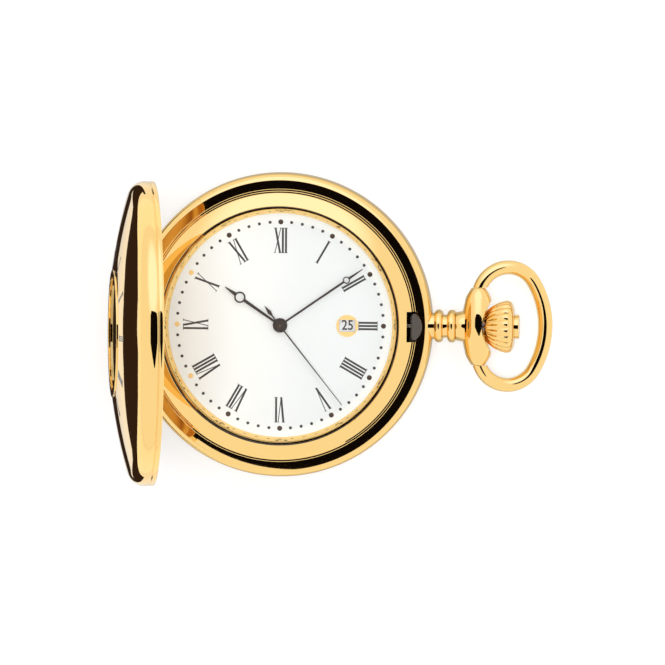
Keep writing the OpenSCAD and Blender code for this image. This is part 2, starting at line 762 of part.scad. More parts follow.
module date_frame() color(gold) difference() {
    translate([date_x, 0, dial_z + seat / 2]) cylinder(r = date_frame_r, h = date_frame_t, $fn = 96);
    block(date_x - date_w / 2, date_x + date_w / 2, date_h, dial_z - over, dial_z + over);
}

module hour_dots() color(gold) for (hour = [1:12]) rotate([0, 0, 90 - 30 * hour])
    translate([dot_ring_r, 0, dial_z]) cylinder(r1 = dot_r, r2 = dot_r * 0.6, h = dot_r * 0.5, $fn = 32);

// Hands lie along +Y before they are turned to the time
module hand(angle, low, bore) {
    rotate([0, 0, -angle]) translate([0, 0, low]) linear_extrude(hand_t) difference() {
        children();
        circle(r = bore, $fn = 48);
    }
}

// A hand with a ring: shaft, ring and pointer
module ring_hand(length, ring_at, ring_out, ring_in, root_w, tip_w, boss) {
    circle(r = boss, $fn = 48);
    polygon([[-root_w / 2, 0], [root_w / 2, 0], [tip_w / 2, ring_at - ring_in - 0.05],
        [-tip_w / 2, ring_at - ring_in - 0.05]]);
    difference() {
        translate([0, ring_at]) circle(r = ring_out, $fn = 48);
        translate([0, ring_at]) circle(r = ring_in, $fn = 48);
    }
    polygon([[-ring_out * 0.35, ring_at + ring_in + 0.05], [ring_out * 0.35, ring_at + ring_in + 0.05],
        [0.06, length], [-0.06, length]]);
}

module hour_hand() color(dark)
    hand(hour_at, hour_hand_z, hour_pipe_r + seat)
        ring_hand(hour_len, 7.74, 0.9, 0.66, 0.34, 0.5, 1.15);

module minute_hand() color(dark)
    hand(minute_at, minute_hand_z, cannon_r + seat)
        ring_hand(minute_len, 12.74, 0.57, 0.4, 0.3, 0.34, 0.95);

module seconds_hand() color(dark) {
    hand(seconds_at, seconds_hand_z, arbor_d / 2 + seat) {
        circle(r = 0.6, $fn = 48);
        polygon([[-0.12, 0], [0.12, 0], [0.05, seconds_len], [-0.05, seconds_len]]);
        polygon([[0.1, 0], [-0.1, 0], [-0.1, -1.9], [-0.32, -2.6], [0, -4], [0.32, -2.6], [0.1, -1.9]]);
    }
}

// Movement

// A spur wheel drawn flat: straight-sided teeth, thin enough to leave backlash
module gear_outline(teeth, mod, bore = 0) {
    pitch_r = teeth * mod / 2;
    step = 360 / teeth;
    root = pitch_r - 1.15 * mod;
    tip = pitch_r + 0.85 * mod;
    difference() {
        polygon([for (i = [0:teeth - 1], k = [[root, -0.32], [tip, -0.12], [tip, 0.12], [root, 0.32]])
            polar(k[0], (i + k[1]) * step)]);
        if (bore > 0) circle(r = bore, $fn = 32);
    }
}

// A wheel or pinion at its level, turned so that a tooth or a space faces its mate
module gear(teeth, mod, low, thick, turn = 0, bore = 0) {
    translate([0, 0, low]) rotate([0, 0, turn]) linear_extrude(thick) gear_outline(teeth, mod, bore);
}

// An upright bar between two heights
module post(r, low, high, at = [0, 0]) {
    translate([at[0], at[1], low]) cylinder(r = r, h = high - low, $fn = 32);
}

// A flat strip with round ends between two points
module strip(from, to, width, low, thick) {
    d = to - from;
    translate([from[0], from[1], low]) rotate([0, 0, atan2(d[1], d[0])])
        translate([0, -width / 2, 0]) cube([norm(d), width, thick]);
    for (p = [from, to]) translate([p[0], p[1], low]) cylinder(d = width * 1.1, h = thick, $fn = 32);
}

module movement_holder() color(plastic) difference() {
    rotate_extrude($fn = 180) polygon([
        [movement_r - holder_lip, holder_low], [holder_r, holder_low], [holder_r, holder_flange_z],
        [holder_flange_r, holder_flange_z], [holder_flange_r, flange_z - seat],
        [movement_r + seat, flange_z - seat], [movement_r + seat, movement_z - seat],
        [movement_r - holder_lip, movement_z - seat]]);
    for (gap = holder_gap_at) rotate([0, 0, gap[0]]) rotate_extrude(angle = gap[1])
        translate([holder_r - 0.1, holder_low - over]) square([5, 5]);
    bar_x(stem_d / 2 + 2 * pass, movement_r - over, holder_r + over);
    for (a = holder_screw_at) rotate([0, 0, a])
        post(holder_screw_d / 2 + seat, holder_low, ledge_z, [holder_screw_r, 0]);
}

module holder_screws() color(steel) for (a = holder_screw_at) rotate([0, 0, a])
    translate([holder_screw_r, 0, 0]) {
        translate([0, 0, holder_flange_z - seat - screw_head_t]) slotted_head(1.4);
        post(holder_screw_d / 2, holder_flange_z - seat - tiny, flange_z + screw_depth - seat);
    }

module main_plate() color(gold) {
    difference() {
        union() {
            post_disc(movement_r, movement_z, plate_top);
            ring(date_disc_out + 0.1, movement_r, plate_top - tiny, flange_z - seat);
            post(0.8, 2.45, movement_z + tiny, clamp_screw_at);
        }
        translate([0, 0, web_high]) cylinder(r = web_r, h = over + plate_top - web_high);
        for (p = [[[0, 0], train_room_r], [third_at, train_room_r], [intermediate_at, 3], [rotor_at, stator_r + 0.15]])
            post(p[1], movement_z - over, web_low, p[0]);
        post(battery_d / 2 + pass, movement_z - over, battery_top + seat, battery_at);
        translate([coil_at[0], coil_at[1], 0]) rotate([0, 0, coil_angle])
            translate([-coil_len / 2 - coil_reach, -coil_d / 2 - pass, movement_z - over])
                cube([coil_len + 2 * coil_reach, coil_d + 2 * pass, coil_top - movement_z + over]);
        for (end = stator_ends) hull() for (p = [rotor_at, end])
            post(core_w / 2 + 2 * pass, movement_z - over, web_low - 0.2, p);
        translate([key_pocket[0][0], key_pocket[0][1], movement_z - over])
            cube([key_pocket[1][0] - key_pocket[0][0], key_pocket[1][1] - key_pocket[0][1],
                web_low - movement_z + over]);
        block(pinion_in - pass, pinion_out + pass, 2.3, movement_z - over, plate_top - 0.05);
        bar_x(stem_d / 2 + run, stem_in - 0.1, movement_r + over);
        post(cannon_r + run, web_low - over, web_high + over);
        for (p = [third_at, intermediate_at, rotor_at]) post(pivot_r + run, web_low - over, web_high - 0.05, p);
        for (p = bridge_screw_at) post(bridge_screw_d / 2 + seat, movement_z - over, web_low, p);
        post(bridge_screw_d / 2 + seat, 2, web_low, clamp_screw_at);
    }
    for (p = [[minute_wheel_at, date_wheel_z - run], [setting_wheel_at, hour_wheel_z],
            [date_wheel_at, date_wheel_z + 0.17], [jumper_at, guard_z - seat]])
        post(post_r, web_high - tiny, p[1], p[0]);
    for (p = guard_posts) post(0.45, web_high - tiny, guard_z - seat / 2, p);
    for (p = [lever_at, yoke_at]) post(post_r, lever_z, web_low + tiny, p);
}

module post_disc(r, low, high) {
    translate([0, 0, low]) cylinder(r = r, h = high - low, $fn = 180);
}

module train_bridge() color(gold) difference() {
    post(bridge_r, bridge_z, movement_z - seat);
    post(battery_d / 2 + 3 * pass, 0, 5, battery_at);
    translate([4.9, -bridge_r, 0]) cube([bridge_r, 2 * bridge_r, 5]);
    for (p = [[0, 0], third_at, intermediate_at, rotor_at]) post(pivot_r + run, bridge_z + 0.2, 5, p);
    for (p = bridge_screw_at) post(bridge_screw_d / 2 + seat, 0, 5, p);
}

module bridge_screws() color(steel) {
    for (p = bridge_screw_at) small_screw(p, bridge_z, 1.4);
    small_screw(clamp_screw_at, clamp_z, 1.8);
}

module small_screw(at, under, length) {
    translate([at[0], at[1], under - seat - screw_head_t]) slotted_head(bridge_screw_head_d);
    post(bridge_screw_d / 2, under - seat - tiny, under + length, at);
}

module battery() color(steel) {
    base = battery_top - battery_t;
    post(battery_d / 2, base, battery_top - 0.35, battery_at);
    post(battery_d / 2 - 0.6, battery_top - 0.35 - tiny, battery_top, battery_at);
}

module battery_clamp() color(steel) difference() {
    union() {
        strip(clamp_screw_at, battery_at, 1.8, clamp_z, clamp_t);
        post(2.2, clamp_z, clamp_z + clamp_t, battery_at);
    }
    post(bridge_screw_d / 2 + seat, 0, 5, clamp_screw_at);
}

module circuit_board() color([0.1, 0.35, 0.2])
    rotate([0, 0, board_start]) rotate_extrude(angle = board_sweep, $fn = 120)
        translate([board_in, board_z]) square([board_out - board_in, board_t]);

module quartz_can() color(steel)
    rotate([0, 0, 105]) translate([9.9, -quartz_len / 2, board_z - seat - quartz_d / 2]) rotate([-90, 0, 0]) {
        cylinder(d = quartz_d, h = quartz_len, $fn = 48);
        translate([0, 0, -0.3]) cylinder(d = quartz_d - 0.4, h = 0.4, $fn = 48);
    }

module chip() color([0.08, 0.08, 0.08])
    rotate([0, 0, 150]) translate([9.9 - chip_w / 2, -chip_w / 2, board_z - seat - chip_t])
        cube([chip_w, chip_w, chip_t]);

module along_coil() {
    translate([coil_at[0], coil_at[1], stator_z + stator_t / 2]) rotate([0, 0, coil_angle])
        rotate([0, 90, 0]) children();
}

module coil() color(copper) along_coil() difference() {
    union() {
        cylinder(d = coil_d - 0.2, h = coil_len, center = true, $fn = 64);
        for (side = [-1, 1]) translate([0, 0, side * (coil_len - 0.3) / 2])
            cylinder(d = coil_d, h = 0.3, center = true, $fn = 64);
    }
    cube([stator_t + 2 * seat, core_w + 2 * seat, coil_len + over], center = true);
}

module stator() color(steel) difference() {
    union() {
        post(stator_r, stator_z, stator_z + stator_t, rotor_at);
        for (end = stator_ends) strip(rotor_at, end, core_w, stator_z, stator_t);
        strip(stator_ends[0], stator_ends[1], core_w, stator_z, stator_t);
    }
    post(magnet_r + rotor_gap, 0, 5, rotor_at);
}

module rotor() color(dark) translate([rotor_at[0], rotor_at[1], 0]) {
    post(magnet_r, 3.5, 4.1);
    post(arbor_d / 2, 3.45, web_low - run);
    post(pivot_r, bridge_z + 0.2 + run, web_high - 0.1);
    gear(6, rotor_module, intermediate_z - 0.02, wheel_t + 0.04, 35);
}

module intermediate_wheel() color(gold) translate([intermediate_at[0], intermediate_at[1], 0]) {
    gear(60, rotor_module, intermediate_z, wheel_t, 215 + 3);
    gear(10, seconds_module, seconds_z - 0.02, wheel_t + 0.04, 170);
    post(arbor_d / 2, 3.45, web_low - run);
    post(pivot_r, bridge_z + 0.2 + run, web_high - 0.1);
}

module seconds_wheel() color(gold) {
    gear(30, seconds_module, seconds_z, wheel_t, 170 + 6);
    gear(8, train_module, third_z - 0.02, wheel_t + 0.04, 100 + 22.5);
    post(arbor_d / 2, 3.45, seconds_hand_z + hand_t + 0.1);
    post(pivot_r, bridge_z + 0.2 + run, 3.5);
}

module third_wheel() color(gold) translate([third_at[0], third_at[1], 0]) {
    gear(60, train_module, third_z, wheel_t, 280);
    gear(8, centre_module, centre_z - 0.02, wheel_t + 0.04, 280);
    post(arbor_d / 2, 3.45, web_low - run);
    post(pivot_r, bridge_z + 0.2 + run, web_high - 0.1);
}

module centre_wheel() color(gold) difference() {
    union() {
        gear(64, centre_module, centre_z, wheel_t, 100 + 180 / 64);
        post(cannon_r, centre_z, minute_hand_z + hand_t + 0.05);
        gear(10, motion_module, motion_z, wheel_t, 0);
    }
    post(arbor_d / 2 + run, 0, 9);
}

module minute_wheel() color(gold) translate([minute_wheel_at[0], minute_wheel_at[1], 0]) {
    gear(30, motion_module, motion_z, wheel_t, 6, post_r + run);
    gear(8, motion_module, motion_z + wheel_t - tiny, hour_wheel_z - motion_z + 0.02, 0, post_r + run);
}

module hour_wheel() color(gold) difference() {
    union() {
        gear(32, motion_module, hour_wheel_z, wheel_t, 180 / 32);
        gear(16, date_module, date_wheel_z, date_wheel_t, 215);
        post(hour_pipe_r, hour_wheel_z, hour_hand_z + hand_t + 0.05);
    }
    post(cannon_r + run, 0, 9);
}

module date_driving_wheel() color(gold) translate([date_wheel_at[0], date_wheel_at[1], 0])
    difference() {
        union() {
            gear(32, date_module, date_wheel_z, date_wheel_t, 35 + 180 / 32);
            rotate([0, 0, 160]) translate([0, -0.3, date_wheel_z + date_wheel_t - tiny])
                cube([3.4, 0.6, 0.15]);
        }
        post(post_r + run, 0, 9);
    }

module date_disc() color([0.93, 0.93, 0.92]) difference() {
    ring(date_disc_in, date_disc_out, date_disc_z, date_disc_z + date_disc_t);
    for (i = [0:30]) rotate([0, 0, 360 / 31 * i]) translate([date_disc_in, 0, date_disc_z - over])
        cylinder(r = 0.35, h = 3, $fn = 16);
}

module date_guard() color(steel) difference() {
    post_disc(guard_r, guard_z, guard_z + guard_t);
    post(1.8, 0, 9);
    block(date_x - 2, date_x + 2, 2.6, 0, 9);
    rotate([0, 0, 35]) block(2.2, 7.6, 4.4, 0, 9);
    rotate([0, 0, 200]) block(2.2, 8, 5, 0, 9);
}

module date_jumper() color(steel) difference() {
    union() {
        post(0.6, date_disc_z, guard_z - run, jumper_at);
        strip(jumper_at, jumper_tip, 0.25, date_disc_z, date_disc_t);
    }
    post(post_r + run, 0, 9, jumper_at);
}

module setting_wheel() color(gold) translate([setting_wheel_at[0], setting_wheel_at[1], 0])
    gear(20, motion_module, motion_z, wheel_t, 180, post_r + run);

module sliding_pinion() color(steel) difference() {
    bar_x(pinion_r, pinion_in, pinion_out);
    block(pinion_in - over, pinion_out + over, stem_d * 0.6 + 2 * run,
        stem_z - stem_d * 0.3 - run, stem_z + stem_d * 0.3 + run);
    for (i = [0:5]) translate([0, 0, stem_z]) rotate([60 * i, 0, 0])
        translate([pinion_in - over, -0.15, 0.55]) cube([over + 0.35, 0.3, 1]);
    difference() {
        bar_x(pinion_r + over, pinion_out - 0.8, pinion_out - 0.35);
        bar_x(pinion_r - 0.2, pinion_out - 1, pinion_out);
    }
}

module setting_lever() color(steel) difference() {
    strip(lever_at, lever_tip - [0, 0.25], 0.5, lever_z, lever_t);
    post(post_r + run, 0, 9, lever_at);
}

module yoke() color(steel) difference() {
    union() {
        post(0.6, lever_z, lever_z + lever_t, yoke_at);
        strip(yoke_at, yoke_tip - [0, 0.2], 0.4, lever_z, lever_t);
    }
    post(post_r + run, 0, 9, yoke_at);
}

case_middle();
back_cover();
back_gasket();
bezel();
crystal();
crystal_gasket();
lid();
lid_window_ring();
lid_window_glass();
hinge_pin();
lift_spring();
lock_spring();
spring_screws();
pendant();
pendant_gasket();
bow();
crown();
crown_cap();
push_sleeve();
winding_stem();
dial();
date_frame();
hour_dots();
hour_hand();
minute_hand();
seconds_hand();
movement_holder();
holder_screws();
main_plate();
train_bridge();
bridge_screws();
battery();
battery_clamp();
circuit_board();
quartz_can();
chip();
coil();
stator();
rotor();
intermediate_wheel();
seconds_wheel();
third_wheel();
centre_wheel();
minute_wheel();
hour_wheel();
date_driving_wheel();
date_disc();
date_guard();
date_jumper();
setting_wheel();
sliding_pinion();
setting_lever();
yoke();
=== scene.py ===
"""Looks of a pocket watch with a hinged front lid, built around its fixed frame.

Lengths are millimetres, as on a drawing, and become metres where a mesh is made. The origin is the
middle of the flat back, X points to the crown, Y to twelve and Z out of the dial.
"""

import json
import logging
import math
from collections.abc import Callable, Iterable, Sequence
from dataclasses import dataclass, field
from enum import Enum

import bmesh
import bpy
from mathutils import Matrix, Vector


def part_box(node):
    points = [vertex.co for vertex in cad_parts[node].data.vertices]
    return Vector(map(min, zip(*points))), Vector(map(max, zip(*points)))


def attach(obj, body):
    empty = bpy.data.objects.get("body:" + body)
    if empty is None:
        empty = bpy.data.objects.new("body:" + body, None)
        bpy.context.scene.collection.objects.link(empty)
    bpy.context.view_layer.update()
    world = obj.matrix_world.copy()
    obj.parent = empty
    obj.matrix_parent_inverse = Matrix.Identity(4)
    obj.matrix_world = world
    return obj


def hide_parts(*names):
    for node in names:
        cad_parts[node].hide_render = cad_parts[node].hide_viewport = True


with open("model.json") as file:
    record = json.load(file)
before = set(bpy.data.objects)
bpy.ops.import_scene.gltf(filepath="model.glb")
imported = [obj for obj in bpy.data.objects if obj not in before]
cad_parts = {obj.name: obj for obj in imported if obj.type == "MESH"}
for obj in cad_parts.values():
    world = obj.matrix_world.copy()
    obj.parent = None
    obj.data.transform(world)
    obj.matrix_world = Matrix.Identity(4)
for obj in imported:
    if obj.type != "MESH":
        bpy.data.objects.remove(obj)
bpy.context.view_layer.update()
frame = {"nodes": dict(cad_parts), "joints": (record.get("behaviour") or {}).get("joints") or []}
MM = 0.001
OVER = 1.0  # how far a cutter runs past what it cuts
CRISP = 30.0  # angle above which an edge stays sharp
ON_AXIS = 1e-6  # a radius below this is none
SAME_SPOT = 1e-8  # corners nearer than this, in metres, are one
STEM_Z = 4.4  # height of the stem's axis
log = logging.getLogger("pocket_watch")

Point = tuple[float, float]
Place = tuple[float, float, float]
Colour = tuple[float, float, float]


def polar(radius: float, angle: float) -> Point:
    """A point at a distance and an angle, in degrees, from the origin."""
    return radius * math.cos(math.radians(angle)), radius * math.sin(math.radians(angle))


def cad_span(node: str) -> tuple[Vector, Vector]:
    """The lowest and highest corners of a node of the frame, in millimetres."""
    low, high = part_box(node)
    return low / MM, high / MM


class Sum(Enum):
    """What a Math node works out."""

    PLUS = "ADD"
    TIMES = "MULTIPLY"


class Socket:
    """A value in a node tree that arithmetic can be written on."""

    def __init__(self, shade: "Shade", link: bpy.types.NodeSocket) -> None:
        """Keeps the tree and the output socket."""
        self.shade = shade
        self.link = link

    def _math(self, kind: Sum, first: object, second: object) -> "Socket":
        """Adds one Math node.

        Args:
            kind: what it works out.
            first: its first value or socket.
            second: its second value or socket.

        Returns:
            The node's result.
        """
        return self.shade.node("ShaderNodeMath", {"operation": kind.value}, {0: first, 1: second})

    def __add__(self, other: object) -> "Socket":
        """Sum."""
        return self._math(Sum.PLUS, self, other)

    def __radd__(self, other: object) -> "Socket":
        """Sum, with the number first."""
        return self._math(Sum.PLUS, other, self)

    def __mul__(self, other: object) -> "Socket":
        """Product."""
        return self._math(Sum.TIMES, self, other)

    def __rmul__(self, other: object) -> "Socket":
        """Product, with the number first."""
        return self._math(Sum.TIMES, other, self)


class Curve(Enum):
    """How a ramp runs between its ends."""

    STRAIGHT = "LINEAR"
    SOFT = "SMOOTHSTEP"


class Shade:
    """The node tree of one material or of the world."""

    def __init__(self, owner: bpy.types.Material | bpy.types.World) -> None:
        """Empties the owner's tree and adds the output for its kind."""
        owner.use_nodes = True
        self.tree = owner.node_tree
        self.tree.nodes.clear()
        self.end = self.tree.nodes.new(f"ShaderNodeOutput{type(owner).__name__}")

    def node(self, kind: str, settings: dict[str, object] | None = None,
             inputs: dict[int | str, object] | None = None, output: int | str = 0) -> Socket:
        """Adds one node.

        Args:
            kind: the node's type.
            settings: its properties, set first.
            inputs: values or sockets for its inputs.
            output: which output to return.

        Returns:
            The chosen output.
        """
        made = self.tree.nodes.new(kind)
        for name, value in (settings or {}).items():
            setattr(made, name, value)
        for name, value in (inputs or {}).items():
            if isinstance(value, Socket):
                self.tree.links.new(value.link, made.inputs[name])
            else:
                made.inputs[name].default_value = value
        return Socket(self, made.outputs[output])

    def surface(self, inputs: dict[int | str, object]) -> Socket:
        """Adds the shader that most finishes end in, with the inputs that they set."""
        return self.node("ShaderNodeBsdfPrincipled", None, inputs)

    def glow(self, colour: Socket) -> Socket:
        """Adds a shader that shines in a colour."""
        return self.node("ShaderNodeEmission", None, {"Color": colour, "Strength": 1.0})

    def place(self) -> Socket:
        """Where a point lies on its piece, in metres."""
        return self.node("ShaderNodeTexCoord", output="Object")

    def distance(self) -> Socket:
        """How far a point lies from its piece's origin, in metres."""
        return self.node("ShaderNodeVectorMath", {"operation": "LENGTH"}, {0: self.place()}, "Value")

    def ramp(self, value: Socket, start: float, end: float, curve: Curve = Curve.STRAIGHT) -> Socket:
        """Turns a value into one that runs from 0 to 1.

        Args:
            value: what it follows.
            start: the value that gives 0.
            end: the value that gives 1.
            curve: how it runs in between.

        Returns:
            A value from 0 to 1.
        """
        return self.node("ShaderNodeMapRange", {"clamp": True, "interpolation_type": curve.value},
                         {0: value, 1: start, 2: end, 3: 0.0, 4: 1.0})

    def mix(self, mask: object, low: object, high: object) -> Socket:
        """Blends two colours.

        Args:
            mask: 0 gives low and 1 gives high.
            low: a colour or socket.
            high: a colour or socket.

        Returns:
            The blended colour.
        """
        values = [(*v, 1) if isinstance(v, tuple) else v for v in (low, high)]
        return self.node("ShaderNodeMix", {"data_type": "RGBA"}, {0: mask, 6: values[0], 7: values[1]}, 2)

    def grain(self, per_mm: float, detail: float = 3, stretch: Place = (1, 1, 1)) -> Socket:
        """Noise fixed to the piece.

        Args:
            per_mm: grains in a millimetre.
            detail: how many finer layers it has.
            stretch: scale along each axis.

        Returns:
            A value around one half.
        """
        spread = self.node("ShaderNodeMapping", None, {"Vector": self.place(), "Scale": stretch})
        return self.node("ShaderNodeTexNoise", None, {
            "Vector": spread, "Scale": per_mm / MM, "Detail": detail, "Roughness": 0.55})

    def bump(self, height: Socket, depth_mm: float) -> Socket:
        """A normal raised by a height from 0 to 1, over a depth in millimetres."""
        return self.node("ShaderNodeBump", None, {
            "Height": height, "Distance": depth_mm * MM, "Strength": 1.0})

    def close(self, shader: Socket) -> None:
        """Joins a shader to the output."""
        self.tree.links.new(shader.link, self.end.inputs["Surface"])


@dataclass(frozen=True)
class Finish:
    """What every finish has: a name, and the record's slot that it stands for."""

    name: str
    slot: str

    def dress(self, shade: Shade) -> Socket:
        """Writes the finish into a node tree and returns its shader."""
        raise NotImplementedError

    def material(self) -> bpy.types.Material:
        """The finish as a material, made once."""
        made = bpy.data.materials.get(self.name)
        if made is None:
            made = bpy.data.materials.new(self.name)
            shade = Shade(made)
            shade.close(self.dress(shade))
        return made


@dataclass(frozen=True)
class Metal(Finish):
    """A metal surface, from mirror polish to a brushed grain.

    Attributes:
        light: its colour where it is cleanest.
        dull: its colour where fingers and dust have dulled it.
        rough: roughness of the clean metal.
        haze: roughness that the duller patches add.
        wave_mm: depth of the slow waves that polishing leaves.
        grain: scale of the brushing along each axis, or none.
        grain_mm: depth of that brushing.
        patch_per_mm: fineness of the dull patches.
        wear_per_mm: fineness of the wear, and of the brushing.
        wave_per_mm: fineness of the waves.
        patchy: share of the patches in what dulls it; the wear has the rest.
    """

    light: Colour
    dull: Colour
    rough: float
    haze: float
    wave_mm: float = 0.0
    grain: Place | None = None
    grain_mm: float = 0.0
    patch_per_mm: float = 0.12
    wear_per_mm: float = 2.5
    wave_per_mm: float = 0.22
    patchy: float = 0.7

    def dress(self, shade: Shade) -> Socket:
        """Dulls the metal in slow patches, with fine wear in its roughness."""
        patches = shade.grain(self.patch_per_mm, 2)
        fine = shade.grain(self.wear_per_mm, 4, self.grain or (1, 1, 1))
        wear = patches * self.patchy + fine * (1 - self.patchy)
        if self.grain:
            height, depth = fine, self.grain_mm
        else:
            height, depth = shade.grain(self.wave_per_mm, 1), self.wave_mm
        inputs: dict[int | str, object] = {
            "Base Color": shade.mix(wear, self.light, self.dull),
            "Metallic": 1.0,
            "Roughness": wear * self.haze + self.rough,
        }
        if depth:
            inputs["Normal"] = shade.bump(height, depth)
        return shade.surface(inputs)


@dataclass(frozen=True)
class Coating(Finish):
    """Paint, lacquer, ink, rubber or moulded plastic.

    Attributes:
        light: its main colour.
        shade_colour: the colour that its slow mottling leans to.
        rough: its middle roughness.
        coat: weight of a clear lacquer over it.
        per_mm: fineness of its grain.
        grain_mm: depth of its grain.
        uneven: how much its roughness varies.
    """

    light: Colour
    shade_colour: Colour
    rough: float
    coat: float = 0.0
    per_mm: float = 1.5
    grain_mm: float = 0.0
    uneven: float = 0.1

    def dress(self, shade: Shade) -> Socket:
        """Mottles the colour and the roughness with the same grain."""
        mottle = shade.grain(self.per_mm)
        inputs: dict[int | str, object] = {
            "Base Color": shade.mix(mottle, self.light, self.shade_colour),
            "Roughness": mottle * self.uneven + (self.rough - self.uneven / 2),
            "Coat Weight": self.coat,
        }
        if self.grain_mm:
            inputs["Normal"] = shade.bump(mottle, self.grain_mm)
        return shade.surface(inputs)


@dataclass(frozen=True)
class PearlDial(Finish):
    """The lacquered dial, with light and shade painted into its colour: lighter at nine, darker at three,
    and a painted ring at its rim.

    Attributes:
        warm: its colour towards nine, painted lighter to make up for the lid's shadow.
        cool: its colour towards three, painted darker and bluer to even out the stronger light there.
        edge: its colour at the rim, a painted ring that darkens the nine side and lightens the three side
            there, and the colour of its flecks.
        turn: where along X the painted light of nine ends and the painted shade of three begins.
        rim: radii between which the painted ring comes in.
        rough: its least roughness.
        uneven: how much its roughness varies.
        coat: weight of the lacquer.
        fleck_per_mm: fineness of its flecks.
        flecks: how much they show.
    """

    # Painted light and shade: lighter at nine against the lid's shadow, darker at three, a painted ring at
    # the rim
    warm: Colour = (0.955, 0.975, 0.95)
    cool: Colour = (0.81, 0.845, 0.85)
    edge: Colour = (0.92, 0.95, 0.93)
    turn: Point = (-15.0, 4.0)
    rim: Point = (17.2, 18.2)
    rough: float = 0.36
    uneven: float = 0.08
    coat: float = 0.1
    fleck_per_mm: float = 1.2
    flecks: float = 0.06

    def dress(self, shade: Shade) -> Socket:
        """Paints light and shade into the colour by place on the dial, blending the three colours, with
        faint flecks.
        """
        across = shade.node("ShaderNodeSeparateXYZ", None, {0: shade.place()})
        # painted light towards nine, painted shade towards three
        side = shade.ramp(across, self.turn[0] * MM, self.turn[1] * MM)
        # the painted ring at the rim
        out = shade.ramp(shade.distance(), self.rim[0] * MM, self.rim[1] * MM, Curve.SOFT)
        colour = shade.mix(out, shade.mix(side, self.warm, self.cool), self.edge)
        fleck = shade.grain(self.fleck_per_mm, 4)
        return shade.surface({
            "Base Color": shade.mix(fleck * self.flecks, colour, self.edge),
            "Roughness": fleck * self.uneven + self.rough,
            "Coat Weight": self.coat})


@dataclass(frozen=True)
class Glass(Finish):
    """Thin clear glass, which lets light and shadow rays straight through.

    Attributes:
        tint: colour of what passes through.
        gloss: strength of the mirror layer.
        ior: index of refraction, which sets how the mirror grows towards the edge.
        smear_per_mm: fineness of the smears.
        smears: roughness that they give.
    """

    tint: Colour
    gloss: float
    ior: float = 1.45
    smear_per_mm: float = 0.3
    smears: float = 0.02

    def dress(self, shade: Shade) -> Socket:
        """Mixes a clear layer with a mirror layer by the angle of view, with faint smears."""
        smear = shade.grain(self.smear_per_mm)
        mirror = shade.surface({
            "Base Color": (1, 1, 1, 1), "Metallic": 1.0, "Roughness": smear * self.smears})
        clear = shade.node("ShaderNodeBsdfTransparent", None, {"Color": (*self.tint, 1)})
        facing = shade.node("ShaderNodeFresnel", None, {"IOR": self.ior})
        return shade.node("ShaderNodeMixShader", None, {0: facing * self.gloss, 1: clear, 2: mirror})


GOLD = Metal("polished_gold", "gold_case", (0.99, 0.69, 0.27), (0.97, 0.65, 0.24), 0.015, 0.03, 0.0008)
# Matt gold for the date frame; on the dots at eight to ten it is painted reflection of the gold lid beside
# them
MATT_GOLD_AND_PAINTED_REFLECTION = Coating("date_gold", "gold_case", (0.98, 0.68, 0.28), (0.95, 0.62, 0.24), 0.45, 0.1, 6)
# Darker deep orange gold for the lid's hollow: painted gold-on-gold reflection, on a satin roughness
HOLLOW_GOLD_PAINTED_REFLECTION = Metal("satin_gold", "gold_case", (0.80, 0.47, 0.12), (0.73, 0.42, 0.10), 0.36, 0.1,
                   grain=(1, 1, 1), grain_mm=0.002)
PLATE_BRASS = Metal("brushed_brass", "movement_brass", (0.72, 0.55, 0.28), (0.62, 0.45, 0.22), 0.28, 0.12,
                    grain=(1, 14, 1), grain_mm=0.0015)
STEEL = Metal("grained_steel", "steel", (0.42, 0.43, 0.46), (0.30, 0.30, 0.32), 0.24, 0.12,
              grain=(1, 10, 1), grain_mm=0.0015)
LATCH_STEEL = Metal("blued_latch", "steel", (0.30, 0.26, 0.22), (0.20, 0.17, 0.15), 0.34, 0.12)
BRIGHT_STEEL = Metal("bright_steel", "cell_steel", (0.72, 0.72, 0.72), (0.60, 0.60, 0.60), 0.16, 0.1)
COPPER = Metal("enamelled_copper", "coil_copper", (0.74, 0.30, 0.12), (0.58, 0.20, 0.08), 0.3, 0.15,
               grain=(12, 1, 1), grain_mm=0.004)
# Dark brown on the other hour dots: painted dark reflection
DOT_PAINTED_DARK_REFLECTION = Coating("browned_dot", "gold_case", (0.075, 0.048, 0.03), (0.05, 0.03, 0.02), 0.35)
DARK_HAND = Coating("blackened_hand", "hand_metal", (0.045, 0.036, 0.032), (0.065, 0.052, 0.046), 0.42)
INK = Coating("dial_ink", "hand_metal", (0.045, 0.040, 0.042), (0.075, 0.068, 0.068), 0.6, per_mm=4)
DATE_INK = Coating("date_ink", "hand_metal", (0.05, 0.05, 0.055), (0.08, 0.08, 0.085), 0.6, per_mm=6)
ENAMEL = Coating("black_enamel", "hand_metal", (0.02, 0.018, 0.018), (0.035, 0.03, 0.03), 0.25, 0.6)
DISC_PAINT = Coating("date_paint", "date_paint", (0.62, 0.62, 0.62), (0.56, 0.56, 0.57), 0.55)
RUBBER = Coating("black_rubber", "seal_rubber", (0.02, 0.02, 0.02), (0.035, 0.035, 0.035), 0.6,
                 per_mm=8, grain_mm=0.004)
# Near black for the crystal's gasket: painted shadow of the gap between crystal and bezel
SEAL_PAINTED_SHADOW = Coating("smoked_seal", "seal_plastic", (0.035, 0.027, 0.02), (0.05, 0.04, 0.03), 0.4)
HOLDER = Coating("moulded_holder", "holder_plastic", (0.70, 0.69, 0.64), (0.62, 0.61, 0.56), 0.5,
                 per_mm=3, grain_mm=0.006)
BOARD = Coating("green_board", "board_green", (0.02, 0.13, 0.06), (0.03, 0.20, 0.09), 0.35, 0.4, 1.2)
RESIN = Coating("chip_resin", "chip_black", (0.012, 0.012, 0.012), (0.03, 0.03, 0.03), 0.5,
                per_mm=12, grain_mm=0.006)
